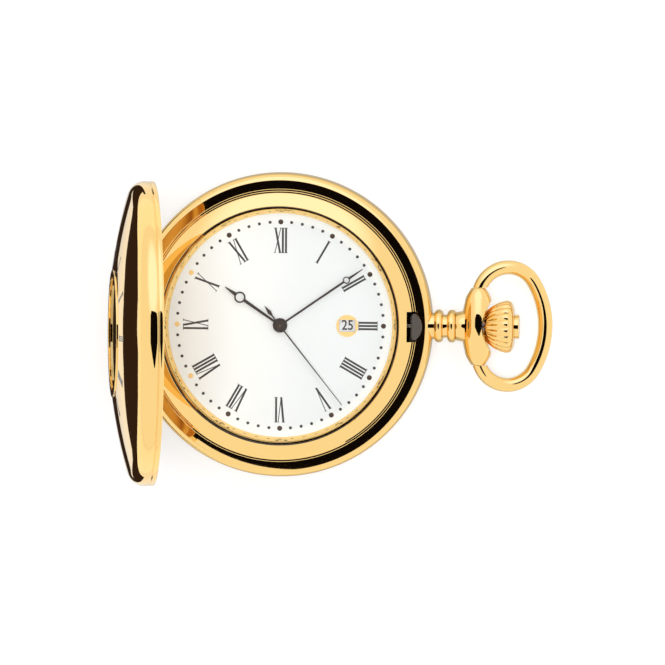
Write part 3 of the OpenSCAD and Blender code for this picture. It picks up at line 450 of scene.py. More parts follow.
# the dial's colour carries painted light and shade
DIAL_FACE = PearlDial("pearl_dial", "dial_lacquer")
CRYSTAL = Glass("clear_crystal", "crystal_glass", (1, 1, 1), 0.35)
WINDOW = Glass("window_glass", "crystal_glass", (0.45, 0.38, 0.33), 0.8)


def arc(centre: Point, radius: float, start: float, end: float, step: float = 6) -> list[Point]:
    """Points along an arc, both ends included.

    Args:
        centre: middle of the arc.
        radius: its radius.
        start: angle of its first point, in degrees.
        end: angle of its last point.
        step: the most that two points may be apart, in degrees.

    Returns:
        The points, in order.
    """
    count = max(2, math.ceil(abs(end - start) / step))
    turns = (polar(radius, start + (end - start) * i / count) for i in range(count + 1))
    return [(centre[0] + x, centre[1] + y) for x, y in turns]


def rounded(corners: Sequence[Sequence[float]], step: float = 9) -> list[Point]:
    """A closed outline whose corners are cut by arcs.

    Args:
        corners: each corner's two coordinates, and its arc's radius if it has one.
        step: the most that two points of an arc may be apart, in degrees.

    Returns:
        The outline's points, in order.
    """
    made: list[Point] = []
    for i, corner in enumerate(corners):
        at = Vector(corner[:2])
        if len(corner) < 3:
            made.append(tuple(at))
            continue
        radius = corner[2]
        back = (Vector(corners[i - 1][:2]) - at).normalized()
        ahead = (Vector(corners[(i + 1) % len(corners)][:2]) - at).normalized()
        half = back.angle(ahead) / 2
        middle = at + (back + ahead).normalized() * (radius / math.sin(half))
        first = at + back * (radius / math.tan(half)) - middle
        last = at + ahead * (radius / math.tan(half)) - middle
        start = math.degrees(math.atan2(first.y, first.x))
        made += arc(tuple(middle), radius, start, start - math.degrees(first.angle_signed(last)), step)
    return made


def placed(name: str, data: bpy.types.ID) -> bpy.types.Object:
    """A new object in the scene, with its data."""
    made = bpy.data.objects.new(name, data)
    bpy.context.scene.collection.objects.link(made)
    return made


def solid(name: str, points: Iterable[Place], faces: Sequence[Sequence[int]],
          place: Matrix | None = None) -> bpy.types.Object:
    """A mesh object from points in millimetres.

    Args:
        name: the piece's name.
        points: the corners.
        faces: corner numbers of each face.
        place: turn and shift from the drawing's axes to the watch's, in millimetres.

    Returns:
        The object, in the scene.
    """
    mesh = bpy.data.meshes.new(name)
    mesh.from_pydata([tuple(p) for p in points], [], [tuple(f) for f in faces])
    mesh.transform(Matrix.Scale(MM, 4) @ (place or Matrix()))
    work = bmesh.new()
    work.from_mesh(mesh)
    bmesh.ops.remove_doubles(work, verts=work.verts, dist=SAME_SPOT)
    bmesh.ops.recalc_face_normals(work, faces=work.faces)
    work.to_mesh(mesh)
    work.free()
    return smooth(placed(name, mesh))


def smooth(piece: bpy.types.Object) -> bpy.types.Object:
    """Shades a piece smooth, apart from its sharp edges."""
    piece.data.shade_smooth()
    piece.data.set_sharp_from_angle(angle=math.radians(CRISP))
    return piece


def spin(name: str, outline: Sequence[Point], steps: int, place: Matrix | None = None,
         swell: Callable[[float, float, float], float] | None = None) -> bpy.types.Object:
    """Turns a closed outline of radius and height about the drawing's Z axis.

    Args:
        name: the piece's name.
        outline: radius and height of each point, in order round the section.
        steps: sides of the turning.
        place: turn and shift to the watch's axes.
        swell: gives the radius at a radius, a height and an angle, for flutes.

    Returns:
        The turned piece.
    """
    points: list[Place] = []
    rings: list[list[int]] = []
    for radius, height in outline:
        first = len(points)
        if radius < ON_AXIS:
            points.append((0.0, 0.0, height))
            rings.append([first] * steps)
            continue
        for i in range(steps):
            angle = 360 * i / steps
            reach = swell(radius, height, angle) if swell else radius
            points.append((*polar(reach, angle), height))
        rings.append(list(range(first, first + steps)))
    faces = []
    for low, high in zip(rings, rings[1:] + rings[:1]):
        for i in range(steps):
            j = (i + 1) % steps
            face = list(dict.fromkeys((low[i], low[j], high[j], high[i])))
            if len(face) > 2:
                faces.append(face)
    return solid(name, points, faces, place)


def rod(name: str, radius: float, start: float, end: float, steps: int,
        place: Matrix) -> bpy.types.Object:
    """A plain round bar between two heights of its drawing, used as a pin or a cutter."""
    return spin(name, [(0, start), (radius, start), (radius, end), (0, end)], steps, place)


def between(name: str, first: Sequence[Place], last: Sequence[Place]) -> bpy.types.Object:
    """A block between two flat outlines with as many points each."""
    count = len(first)
    sides = [(i, (i + 1) % count, count + (i + 1) % count, count + i) for i in range(count)]
    return solid(name, [*first, *last], [tuple(range(count)), tuple(range(count, 2 * count)), *sides])


def box(name: str, low: Place, high: Place) -> bpy.types.Object:
    """A block between two corners, used as a cutter."""
    flat = [(low[0], low[1]), (high[0], low[1]), (high[0], high[1]), (low[0], high[1])]
    return between(name, [(*p, low[2]) for p in flat], [(*p, high[2]) for p in flat])


def tube(name: str, path: Sequence[Vector], radius: Callable[[float], float],
         steps: int) -> bpy.types.Object:
    """Sweeps a round wire along an open flat path.

    Args:
        name: the piece's name.
        path: the middle of the wire, in a plane of constant height.
        radius: gives the wire's radius at a share of the path's length.
        steps: sides of the wire.

    Returns:
        The wire.
    """
    along = [(b - a).length for a, b in zip(path, path[1:])]
    total = sum(along)
    points: list[Place] = []
    walked = 0.0
    for i, at in enumerate(path):
        ahead = (path[min(i + 1, len(path) - 1)] - path[max(i - 1, 0)]).normalized()
        side = Vector((ahead.y, -ahead.x, 0))
        reach = radius(walked / total)
        for k in range(steps):
            across, up = polar(reach, 360 * k / steps)
            points.append(tuple(at + side * across + Vector((0, 0, up))))
        walked += along[i] if i < len(along) else 0
    last = (len(path) - 1) * steps
    faces = [(row + k, row + (k + 1) % steps, row + steps + (k + 1) % steps, row + steps + k)
             for row in range(0, last, steps) for k in range(steps)]
    faces += [tuple(range(steps))[::-1], tuple(range(last, last + steps))]
    return solid(name, points, faces)


class Cut(Enum):
    """What a piece does to another that it meets."""

    AWAY = "DIFFERENCE"
    JOIN = "UNION"


def carve(piece: bpy.types.Object, cutters: Iterable[bpy.types.Object],
          cut: Cut = Cut.AWAY) -> bpy.types.Object:
    """Cuts or joins a piece with others, which are used up.

    Args:
        piece: what is changed.
        cutters: the pieces that change it.
        cut: what they do to it.

    Returns:
        The same piece, with its new mesh.
    """
    for cutter in cutters:
        step = piece.modifiers.new("carve", "BOOLEAN")
        step.operation, step.solver, step.object = cut.value, "EXACT", cutter
        ready = piece.evaluated_get(bpy.context.evaluated_depsgraph_get())
        mesh = bpy.data.meshes.new_from_object(ready)
        piece.modifiers.clear()
        piece.data = mesh
        bpy.data.objects.remove(cutter)
    return smooth(piece)


def merge(name: str, pieces: Iterable[bpy.types.Object]) -> bpy.types.Object:
    """Gathers pieces that don't touch into the first one's mesh.

    Args:
        name: the piece's name.
        pieces: the pieces, of which the others are used up.

    Returns:
        The first piece, renamed.
    """
    made, *others = pieces
    for other in others:
        work = bmesh.new()
        work.from_mesh(made.data)
        work.from_mesh(other.data)
        work.to_mesh(made.data)
        work.free()
        bpy.data.objects.remove(other)
    made.name = name
    return made


def lay_y(shift: Place = (0, 0, 0)) -> Matrix:
    """Turns a drawing's Z axis to the watch's Y axis, then shifts it."""
    return Matrix.Translation(shift) @ Matrix.Rotation(math.radians(-90), 4, "X")


# Turns a drawing's Z axis to the stem's axis.
ON_STEM = Matrix.Translation((0, 0, STEM_Z)) @ Matrix.Rotation(math.radians(90), 4, "Y")


class Workshop:
    """Seats made pieces on the frame, and finishes the nodes that stay."""

    def __init__(self, nodes: dict[str, bpy.types.Object]) -> None:
        """Keeps the frame's nodes."""
        self.nodes = nodes
        self.seated = 0

    def seat(self, piece: bpy.types.Object, finish: Finish, body: str, *stands_for: str) -> None:
        """Gives a piece its finish, its body and the nodes that it stands for.

        Args:
            piece: a made piece.
            finish: what it is made of.
            body: the body that it moves with.
            stands_for: nodes that it replaces, if any.
        """
        if not piece.data.materials:
            piece.data.materials.append(finish.material())
        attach(piece, body)
        if stands_for:
            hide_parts(*stands_for)
        self.seated += 1

    def finish_nodes(self, finish: Finish, *names: str) -> None:
        """Gives nodes of the frame a finish.

        Args:
            finish: what they are made of.
            names: the nodes.
        """
        for name in names:
            piece = self.nodes[name]
            for place in piece.material_slots:
                place.material = finish.material()


@dataclass
class Part:
    """A part of the watch.

    Attributes:
        shop: where its pieces get their finishes and bodies.
    """

    shop: Workshop

    def make(self) -> None:
        """Makes the part's pieces and seats them."""
        raise NotImplementedError


@dataclass
class Hinge:
    """The lid's hinge: where its pin lies, how its knuckles share it, and how far it opens.

    Attributes:
        x: where the pin lies.
        z: height of the pin.
        knuckle_r: radius of the knuckles.
        half: half of the hinge's length.
        tongue_half: half of the lid's knuckle.
        gap: room beside the lid's knuckle.
        root_z: height that the case's knuckles reach down to.
        flare: how much wider a knuckle's foot is on each side.
        bore_r: radius of the pin's hole.
        open_at: the lid's angle at rest, from closed.
    """

    x: float = -22.7
    z: float = 8.1
    knuckle_r: float = 0.8
    half: float = 4.5
    tongue_half: float = 1.5
    gap: float = 0.1
    root_z: float = 6.6
    flare: float = 0.25
    bore_r: float = 0.42
    open_at: float = field(default_factory=lambda: next(
        joint["range_deg"][1] for joint in frame["joints"] if joint["name"] == "lid_hinge"))

    def opened(self) -> Matrix:
        """The lid's turn from closed to open."""
        at = Vector((self.x, 0, self.z))
        turn = Matrix.Rotation(math.radians(-self.open_at), 4, "Y")
        return Matrix.Translation(at) @ turn @ Matrix.Translation(-at)

    def knuckle(self, name: str, start: float, end: float, foot: float) -> bpy.types.Object:
        """One knuckle on its foot, bored for the pin.

        Args:
            name: the piece's name.
            start: where it starts along Y.
            end: where it ends.
            foot: height that its foot reaches, below or above the pin.

        Returns:
            The knuckle.
        """
        turn, flare = (0, -self.flare) if foot < self.z else (180, self.flare)
        top = arc((self.x, self.z), self.knuckle_r, turn, turn + 180, 8)
        outline = [*top, (top[-1][0] + flare, foot), (top[0][0] - flare, foot)]
        made = between(name, [(x, start, z) for x, z in outline], [(x, end, z) for x, z in outline])
        bore = rod("bore", self.bore_r, start - OVER, end + OVER, 48, lay_y((self.x, 0, self.z)))
        return carve(made, [bore])


@dataclass
class Case(Part):
    """The middle of the case and its back.

    Attributes:
        hinge: the lid's hinge, whose outer knuckles it carries.
        radius: the case's radius.
        bore_r: radius of the room inside.
        flange_r: radius of the hole in the flange that carries the bezel.
        seam_z: height of the seam with the back.
        ledge_z: height of the ledge around the flange.
        ledge_in: width of the ledge's flat part.
        flange_z: underside of the flange.
        fall: half of the ledge's slope at its edge.
        rim_r: radius of the upper rim's round.
        rim_z: height of that round's middle.
        rim_to: angle where it ends.
        low_r: radius of the lower round.
        slot_in: near end of the latch's slot.
        slot_out: its far end.
        slot_w: its width.
        neck_r: radius of the pendant's seat.
        neck_in: how far in that seat reaches.
        notch_z: floor of the hinge's notch.
        notch_in: near end of that notch.
        back_flat_r: radius of the back's flat.
        back_curve_r: radius of the curve that leaves the flat.
        back_lean: angle where that curve meets the edge's round.
        back_edge_r: radius of the edge's round.
        back_wall: thickness of the back.
        snap_in: how far the outside of the back's rim lies inside the case's room.
        snap_w: the same for its inside.
        seam_gap: play at the seam.
        knife: half width, depth and height of the notch for a case knife.
    """

    hinge: Hinge
    radius: float = 24.0
    bore_r: float = 21.3
    flange_r: float = 19.2
    seam_z: float = 2.2
    ledge_z: float = 6.8
    ledge_in: float = 0.55
    flange_z: float = 6.0
    fall: float = 0.04
    rim_r: float = 1.45
    rim_z: float = 5.297
    rim_to: float = 74.0
    low_r: float = 0.8
    slot_in: float = 20.1
    slot_out: float = 21.76
    slot_w: float = 4.8
    neck_r: float = 2.12
    neck_in: float = 22.18
    notch_z: float = 4.2
    notch_in: float = -20.3
    back_flat_r: float = 16.1
    back_curve_r: float = 6.0
    back_lean: float = -82.2
    back_edge_r: float = 1.4
    back_wall: float = 0.9
    snap_in: float = 0.4
    snap_w: float = 1.0
    seam_gap: float = 0.02
    knife: Place = (2.0, 0.9, 0.5)

    def middle(self) -> bpy.types.Object:
        """The band with its convex rim, its ledge and its cuts."""
        crest = arc((self.radius - self.rim_r, self.rim_z), self.rim_r, 0, self.rim_to, 4)
        outline = [
            (self.bore_r, self.seam_z),
            *arc((self.radius - self.low_r, self.seam_z + self.low_r), self.low_r, -90, 0), *crest,
            (crest[-1][0] - self.fall / 2, self.ledge_z - 2 * self.fall),
            (self.bore_r + self.ledge_in, self.ledge_z), (self.flange_r, self.ledge_z),
            (self.flange_r, self.flange_z), (self.bore_r, self.flange_z)]
        band = spin("case_band", outline, 360)
        half, top = self.slot_w / 2, self.ledge_z + OVER
        notch = self.hinge.tongue_half + self.hinge.gap
        latch = box("latch_cut", (self.slot_in, -half, self.notch_z - OVER), (self.slot_out, half, top))
        tongue = box("hinge_cut", (self.hinge.x - 0.01, -notch, self.notch_z), (self.notch_in, notch, top))
        neck = rod("neck_cut", self.neck_r, self.neck_in, self.radius + OVER, 72, ON_STEM)
        carve(band, [latch, tongue, neck])
        for side in (-1, 1):
            ends = sorted((side * (self.hinge.tongue_half + 2 * self.hinge.gap), side * self.hinge.half))
            carve(band, [self.hinge.knuckle("case_knuckle", *ends, self.hinge.root_z)], Cut.JOIN)
        return band

    def back(self) -> bpy.types.Object:
        """The snap back: a flat middle, a soft dome to its edge and a notch for a case knife."""
        low, high = cad_span("back_cover")
        seam, wall, round_r = self.seam_z - self.seam_gap, self.back_wall, self.back_edge_r
        rim, inside = self.bore_r - self.snap_in, self.bore_r - self.snap_w
        outline = [
            (0, wall), (0, 0.0),
            *arc((self.back_flat_r, self.back_curve_r), self.back_curve_r, -90, self.back_lean, 2),
            *arc((high.x - round_r, seam), round_r, self.back_lean, 0),
            (rim, seam), (rim, high.z), (inside, high.z), (inside, wall)]
        cover = spin("back_shell", outline, 360)
        half, deep, tall = self.knife
        notch = box("knife_notch", (-half, low.y - OVER, seam - tall), (half, low.y + deep, seam + 0.01))
        return carve(cover, [notch])

    def make(self) -> None:
        """Makes both pieces and seats them."""
        self.shop.seat(self.middle(), GOLD, "root", "case_middle")
        self.shop.seat(self.back(), GOLD, "root", "back_cover")


@dataclass
class Bezel(Part):
    """The stepped ring that holds the crystal, with fine turned lines in its wall.

    Attributes:
        foot_z: height of its foot.
        foot_r: radius of its foot.
        foot_top: height where the foot ends.
        wall_r: radius of its lower wall.
        wall_top: height where that wall ends.
        neck_r: radius of its upper wall.
        neck_z: height where that wall starts.
        neck_top: height where it ends.
        cone_r: radius where its cone starts.
        cone_z: height where its cone starts.
        inner_r: radius of the hole for the crystal.
        top_z: its height.
        view_r: radius of the opening over the dial.
        seat_r: radius of the part that goes into the case.
        rehaut_z: lowest height of that part.
        lines: height of the turned line in each wall.
        line: depth of a turned line.
        line_half: half of a turned line's width.
        shelf: points of the shelf under the crystal, outside the opening, with their heights.
        latch_gap: near end and half width of the latch's gap.
        hinge_gap: depth and half width of the hinge's gap.
    """

    foot_z: float = 6.8
    foot_r: float = 21.6
    foot_top: float = 7.1
    wall_r: float = 21.25
    wall_top: float = 7.47
    neck_r: float = 20.95
    neck_z: float = 7.5
    neck_top: float = 7.85
    cone_r: float = 20.85
    cone_z: float = 7.94
    inner_r: float = 18.91
    top_z: float = 8.65
    view_r: float = 17.7
    seat_r: float = 19.15
    rehaut_z: float = 6.45
    lines: Point = (7.3, 7.68)
    line: float = 0.07
    line_half: float = 0.04
    shelf: tuple[Point, ...] = ((0.8, 7.83), (0.45, 7.5))
    latch_gap: Point = (20.1, 2.4)
    hinge_gap: Point = (0.15, 5.0)

    def scored(self, radius: float, height: float) -> list[Point]:
        """A fine turned line in a wall, from low to high."""
        return [(radius, height - self.line_half), (radius - self.line, height),
                (radius, height + self.line_half)]

    def make(self) -> None:
        """Turns the ring and clears it for the latch and the hinge."""
        foot, wall, neck, hole = self.foot_r, self.wall_r, self.neck_r, self.inner_r
        turned = [
            (self.view_r, self.rehaut_z), (self.seat_r, self.rehaut_z), (self.seat_r, self.foot_z),
            (foot, self.foot_z), (foot, self.foot_top - 0.08), (foot - 0.08, self.foot_top),
            (wall + 0.03, self.foot_top), (wall, self.foot_top + 0.03), *self.scored(wall, self.lines[0]),
            (wall, self.wall_top - 0.04), (wall - 0.05, self.wall_top),
            (neck + 0.04, self.neck_z), (neck, self.neck_z + 0.04), *self.scored(neck, self.lines[1]),
            (neck, self.neck_top), (self.cone_r, self.cone_z),
            (hole + 0.06, self.top_z), (hole, self.top_z - 0.05),
            (hole, self.shelf[0][1]), *((self.view_r + out, height) for out, height in self.shelf)]
        ring = spin("bezel_ring", turned, 360)
        low = self.foot_z - OVER
        near, half = self.latch_gap
        latch = box("latch_gap", (near, -half, low), (foot + OVER, half, self.top_z))
        deep, half = self.hinge_gap
        hinge = box("hinge_gap", (-foot - OVER, -half, low), (-foot + deep, half, self.top_z))
        self.shop.seat(carve(ring, [latch, hinge]), GOLD, "root", "bezel")
        self.shop.finish_nodes(CRYSTAL, "crystal")
        # the gasket's near black is painted shadow of the gap
        self.shop.finish_nodes(SEAL_PAINTED_SHADOW, "crystal_gasket")


@dataclass
class Lid(Part):
    """The domed lid with its glazed window, drawn closed and turned open about the hinge.

    Attributes:
        hinge: the hinge, whose middle knuckle it carries.
        base_z: height of its rim's underside when it is closed.
        radius: its radius.
        dome_r: radius of its dome.
        dome_h: height of the dome over the rim's underside.
        corner_h: height where the rolled corner meets the wall.
        wall: its thickness.
        rim: how far each point of the rim's outside lies inside the radius, with its height.
        lip_r: inner radius of its lip.
        lip_h: height of the lip.
        window_r: radius of the window's hole.
        ring: width of the window's ring inside and outside the hole, and how far it stands up.
        ring_deep: how far the ring reaches down into the hole.
        ring_lip: width and thickness of the ring's lip under the glass.
        ring_edge: radius of the ring's edges.
        cut_h: height of the cut for the hinge.
        cut_half: half of the cut's width.
        cut_in: how near to the middle the cut reaches.
        foot_h: how far the hinge's knuckle reaches above the cut.
        numeral_r: radius of the hours around the window.
        numeral_h: height of the hours.
        numeral_w: size of their widths beside the dial's.
        enamel: thickness of the hours' enamel.
        sunk: how far the ring and the hours are sunk in the dome.
    """

    hinge: Hinge
    base_z: float = 6.85
    radius: float = 23.9
    dome_r: float = 81.4
    dome_h: float = 7.0
    corner_h: float = 1.5
    wall: float = 0.8
    rim: tuple[Point, ...] = (
        (0.005, 1.2), (0.06, 0.95), (0.16, 0.9), (0.18, 0.845), (0.16, 0.79), (0.06, 0.74),
        (0.01, 0.58), (0.0, 0.42), (0.01, 0.26), (0.05, 0.1), (0.15, 0.0))
    lip_r: float = 22.05
    lip_h: float = 0.6
    window_r: float = 9.4
    ring: Place = (0.5, 0.6, 0.1)
    ring_deep: float = 1.1
    ring_lip: Point = (0.5, 0.3)
    ring_edge: float = 0.08
    cut_h: float = 2.3
    cut_half: float = 5.3
    cut_in: float = 21.05
    foot_h: float = 0.4
    numeral_r: float = 12.8
    numeral_h: float = 3.0
    numeral_w: float = 0.62
    enamel: float = 0.05
    sunk: float = 0.02

    def dome_z(self, radius: float) -> float:
        """Height of the dome over the lid's rim at a radius."""
        return self.dome_h - self.dome_r + math.sqrt(self.dome_r ** 2 - radius ** 2)

    def shell(self) -> bpy.types.Object:
        """The pressed lid: dome, rolled corner and two bands split by a groove."""
        drop = self.dome_r - self.dome_h
        rise = self.corner_h + drop
        corner = (self.dome_r ** 2 - self.radius ** 2 - rise ** 2) / (2 * (self.dome_r - self.radius))
        middle = (self.radius - corner, self.corner_h)
        lean = math.degrees(math.atan2(rise, middle[0]))
        outer, inner = self.dome_r, self.dome_r - self.wall
        edges = [math.degrees(math.acos(self.window_r / r)) for r in (outer, inner)]
        outline = [
            *arc((0, -drop), outer, edges[0], lean, 0.6), *arc(middle, corner, lean, 0, 4)[1:],
            *((self.radius - inset, height) for inset, height in self.rim),
            (self.lip_r + 0.08, 0.0), (self.lip_r, 0.08), (self.lip_r, self.lip_h),
            (self.radius - self.wall, self.lip_h), *arc(middle, corner - self.wall, 0, lean, 6),
            *arc((0, -drop), inner, lean, edges[1], 0.6)[1:]]
        shell = spin("lid_shell", outline, 360, Matrix.Translation((0, 0, self.base_z)))
        top, half = self.base_z + self.cut_h, self.hinge.tongue_half
        cut = box("hinge_room", (-self.radius - OVER, -self.cut_half, self.base_z - OVER),
                  (-self.cut_in, self.cut_half, top))
        tongue = self.hinge.knuckle("lid_tongue", -half, half, top + self.foot_h)
        carve(shell, [cut])
        return carve(shell, [tongue], Cut.JOIN)

    def line_inside(self, shell: bpy.types.Object) -> None:
        """Gives the hollow of the closed shell its satin finish, with gold-on-gold reflection painted into
        its deep orange colour.
        """
        shell.data.materials.append(GOLD.material())
        shell.data.materials.append(HOLLOW_GOLD_PAINTED_REFLECTION.material())
        for face in shell.data.polygons:
            at = face.center / MM
            radius, height = math.hypot(at.x, at.y), at.z - self.base_z
            within = radius < self.radius - self.wall + 0.05
            below = 0.02 < height < self.dome_z(radius) - self.wall / 2
            face.material_index = int(within and below)

    def window_ring(self) -> bpy.types.Object:
        """The raised ring that holds the lid's glass."""
        inward, outward, proud = self.ring
        wide, thick = self.ring_lip
        hole, wall = self.dome_z(self.window_r), self.window_r - self.sunk
        inner, outer = self.window_r - inward, self.window_r + outward
        low, top = hole + self.sunk - self.ring_deep, hole + self.sunk + proud
        outline = rounded([
            (inner - wide, low), (wall, low), (wall, hole - self.sunk), (outer, self.dome_z(outer) - 0.03),
            (outer, top, self.ring_edge), (inner, top, self.ring_edge),
            (inner, low + thick), (inner - wide, low + thick)])
        return spin("window_ring", outline, 240, Matrix.Translation((0, 0, self.base_z)))

    def numerals(self) -> bpy.types.Object:
        """The twelve hours in black enamel, draped over the dome around the window."""
        flat = Numerals("lid_hours", self.numeral_r, self.numeral_h, self.numeral_w).make(self.enamel)
        for point in flat.data.vertices:
            radius = math.hypot(point.co.x, point.co.y) / MM
            point.co.z += (self.base_z + self.dome_z(radius) - self.sunk) * MM
        return flat

    def make(self) -> None:
        """Makes the lid's pieces, opens them and seats them."""
        turn = self.hinge.opened()
        turn.translation *= MM
        shell = self.shell()
        self.line_inside(shell)
        for piece, finish, nodes in (
                (shell, GOLD, ("lid",)), (self.window_ring(), GOLD, ("lid_window_ring",)),
                (self.numerals(), ENAMEL, ())):
            piece.data.transform(turn)
            self.shop.seat(piece, finish, "lid", *nodes)
        self.shop.finish_nodes(WINDOW, "lid_window_glass")
        self.shop.finish_nodes(GOLD, "hinge_pin")


@dataclass
class Pendant(Part):
    """The neck with its two beads, and the barrel head that the bow swings on.

    Attributes:
        start: where the neck's spigot starts, from the watch's middle.
        foot: radius and place of each point of the neck before its beads.
        bead_at: place of the first bead.
        bead_step: distance to the second.
        bead_mid_r: radius at which a bead's round has its middle.
        bead_r: radius of that round.
        bead_turns: angles at which each bead's round starts and ends.
        groove_r: radius of the groove between the beads.
        collar: radius and place of each point of the neck after its beads.
        head_x: place of the head's axis.
        head_half: half of the head's length.
        head_r: its radius in the middle.
        belly_r: radius of its belly's curve.
        belly_half: half of the belly's length.
        steps: radius and place of the steps towards each end of the head.
        end_r: radius of the head's ends.
        bevel: depth and height of the bevel at each end.
        room: radius and place of each point of the hollow for the crown.
        sleeve_r: radius of the bore for the sleeve.
    """

    start: float = 22.2
    foot: tuple[Point, ...] = ((0, 22.2), (2.0, 22.2), (2.0, 23.3), (2.1, 23.3))
    bead_at: float = 24.98
    bead_step: float = 2.05
    bead_mid_r: float = 1.9
    bead_r: float = 0.7
    bead_turns: tuple[Point, ...] = ((-73, 95), (-95, 95))
    groove_r: float = 1.81
    collar: tuple[Point, ...] = ((2.19, 27.73), (2.23, 27.79), (2.43, 28.8), (2.43, 29.2), (0, 29.2))
    head_x: float = 31.2
    head_half: float = 6.08
    head_r: float = 2.75
    belly_r: float = 8.7
    belly_half: float = 1.75
    steps: tuple[Point, ...] = ((2.06, 4.3), (1.88, 4.82), (1.55, 5.42))
    end_r: float = 1.15
    bevel: Point = (0.08, 0.06)
    room: tuple[Point, ...] = ((0, 31.45), (2.6, 31.45), (2.6, 31.85), (4.3, 33.4), (4.3, 34.4), (0, 34.4))
    sleeve_r: float = 1.45

    def neck(self) -> bpy.types.Object:
        """The turned neck, from its spigot in the case into the head."""
        beads = [arc((self.bead_mid_r, self.bead_at + i * self.bead_step), self.bead_r, *turns, 8)
                 for i, turns in enumerate(self.bead_turns)]
        groove = (self.groove_r, self.bead_at + self.bead_step / 2)
        return spin("neck", [*self.foot, *beads[0], groove, *beads[1], *self.collar], 160, ON_STEM)

    def head(self) -> bpy.types.Object:
        """The barrel across the neck, hollowed for the crown."""
        sweep = math.degrees(math.asin(self.belly_half / self.belly_r))
        belly = arc((self.head_r - self.belly_r, 0), self.belly_r, -sweep, sweep, 1.5)
        tip, (deep, high) = self.head_half, self.bevel
        end = [*self.steps, (self.end_r, tip - high), (self.end_r - deep, tip), (0, tip)]
        outline = [*((r, -y) for r, y in reversed(end)), *belly, *end]
        made = spin("pendant_head", outline, 200, lay_y((self.head_x, 0, STEM_Z)))
        return carve(made, [spin("crown_room", self.room, 160, ON_STEM)])

    def make(self) -> None:
        """Joins neck and head, bores them for the sleeve and seats them."""
        whole = carve(self.neck(), [self.head()], Cut.JOIN)
        bore = rod("sleeve_bore", self.sleeve_r, self.start - OVER, self.head_x + 1, 64, ON_STEM)
        carve(whole, [bore])
        whole.name = "pendant_body"
        self.shop.seat(whole, GOLD, "root", "pendant")
        self.shop.finish_nodes(RUBBER, "pendant_gasket")
        self.shop.finish_nodes(STEEL, "push_sleeve", "winding_stem")


@dataclass
class Bow(Part):
    """The oval ring, which hangs a little below the pendant's axis.

    Attributes:
        pendant: the pendant that it swings on.
        wire_r: radius of the wire at its ends.
        swell: how much thicker it is in the middle.
        bend_r: radius of the bend beside the head.
        bend_y: distance of that bend's middle from the stem's axis.
        bend_from: angle at which the bend starts.
        side_r: radius of the long curve.
        side_x: distance of that curve's middle from the head's axis.
        droop: how far it hangs down, in degrees.
        seat_y: where the wire's ends face the head.
        room: least X, greatest X and half height of the cut that trims the ends.
        pin_r: radius of the pins.
        pin_in: how far a pin goes into the head.
        pin_out: how far it goes into the wire.
    """

    pendant: Pendant
    wire_r: float = 1.1
    swell: float = 0.05
    bend_r: float = 4.8
    bend_y: float = 4.5
    bend_from: float = 165.0
    side_r: float = 13.35
    side_x: float = -2.47
    droop: float = 17.0
    seat_y: float = 6.18
    room: Place = (-3.0, 2.6, 2.0)
    pin_r: float = 0.65
    pin_in: float = 1.5
    pin_out: float = 0.4

    def make(self) -> None:
        """Sweeps the wire, trims its ends to the head, and lets it droop."""
        turn = math.degrees(math.atan2(self.bend_y, self.bend_r - self.side_x))
        bend = arc((self.bend_r, self.bend_y), self.bend_r, self.bend_from, turn, 4)
        side = arc((self.side_x, 0), self.side_r, turn, -turn, 1.5)
        flat = [*bend, *side[1:-1], *((x, -y) for x, y in reversed(bend))]
        wire = tube("bow_wire", [Vector((x, y, 0)) for x, y in flat],
                    lambda share: self.wire_r + self.swell * math.sin(math.pi * share) ** 4, 48)
        near, far, half = self.room
        carve(wire, [box("head_room", (near, -self.seat_y, -half), (far, self.seat_y, half))])
        for sign in (-1, 1):
            ends = sorted((sign * (self.seat_y - self.pin_in), sign * (self.seat_y + self.pin_out)))
            carve(wire, [rod("bow_pin", self.pin_r, *ends, 40, lay_y())], Cut.JOIN)
        hang = Matrix.Rotation(math.radians(self.droop), 4, "Y")
        hang.translation = Vector((self.pendant.head_x, 0, STEM_Z)) * MM
        wire.data.transform(hang)
        self.shop.seat(wire, GOLD, "bow", "bow")


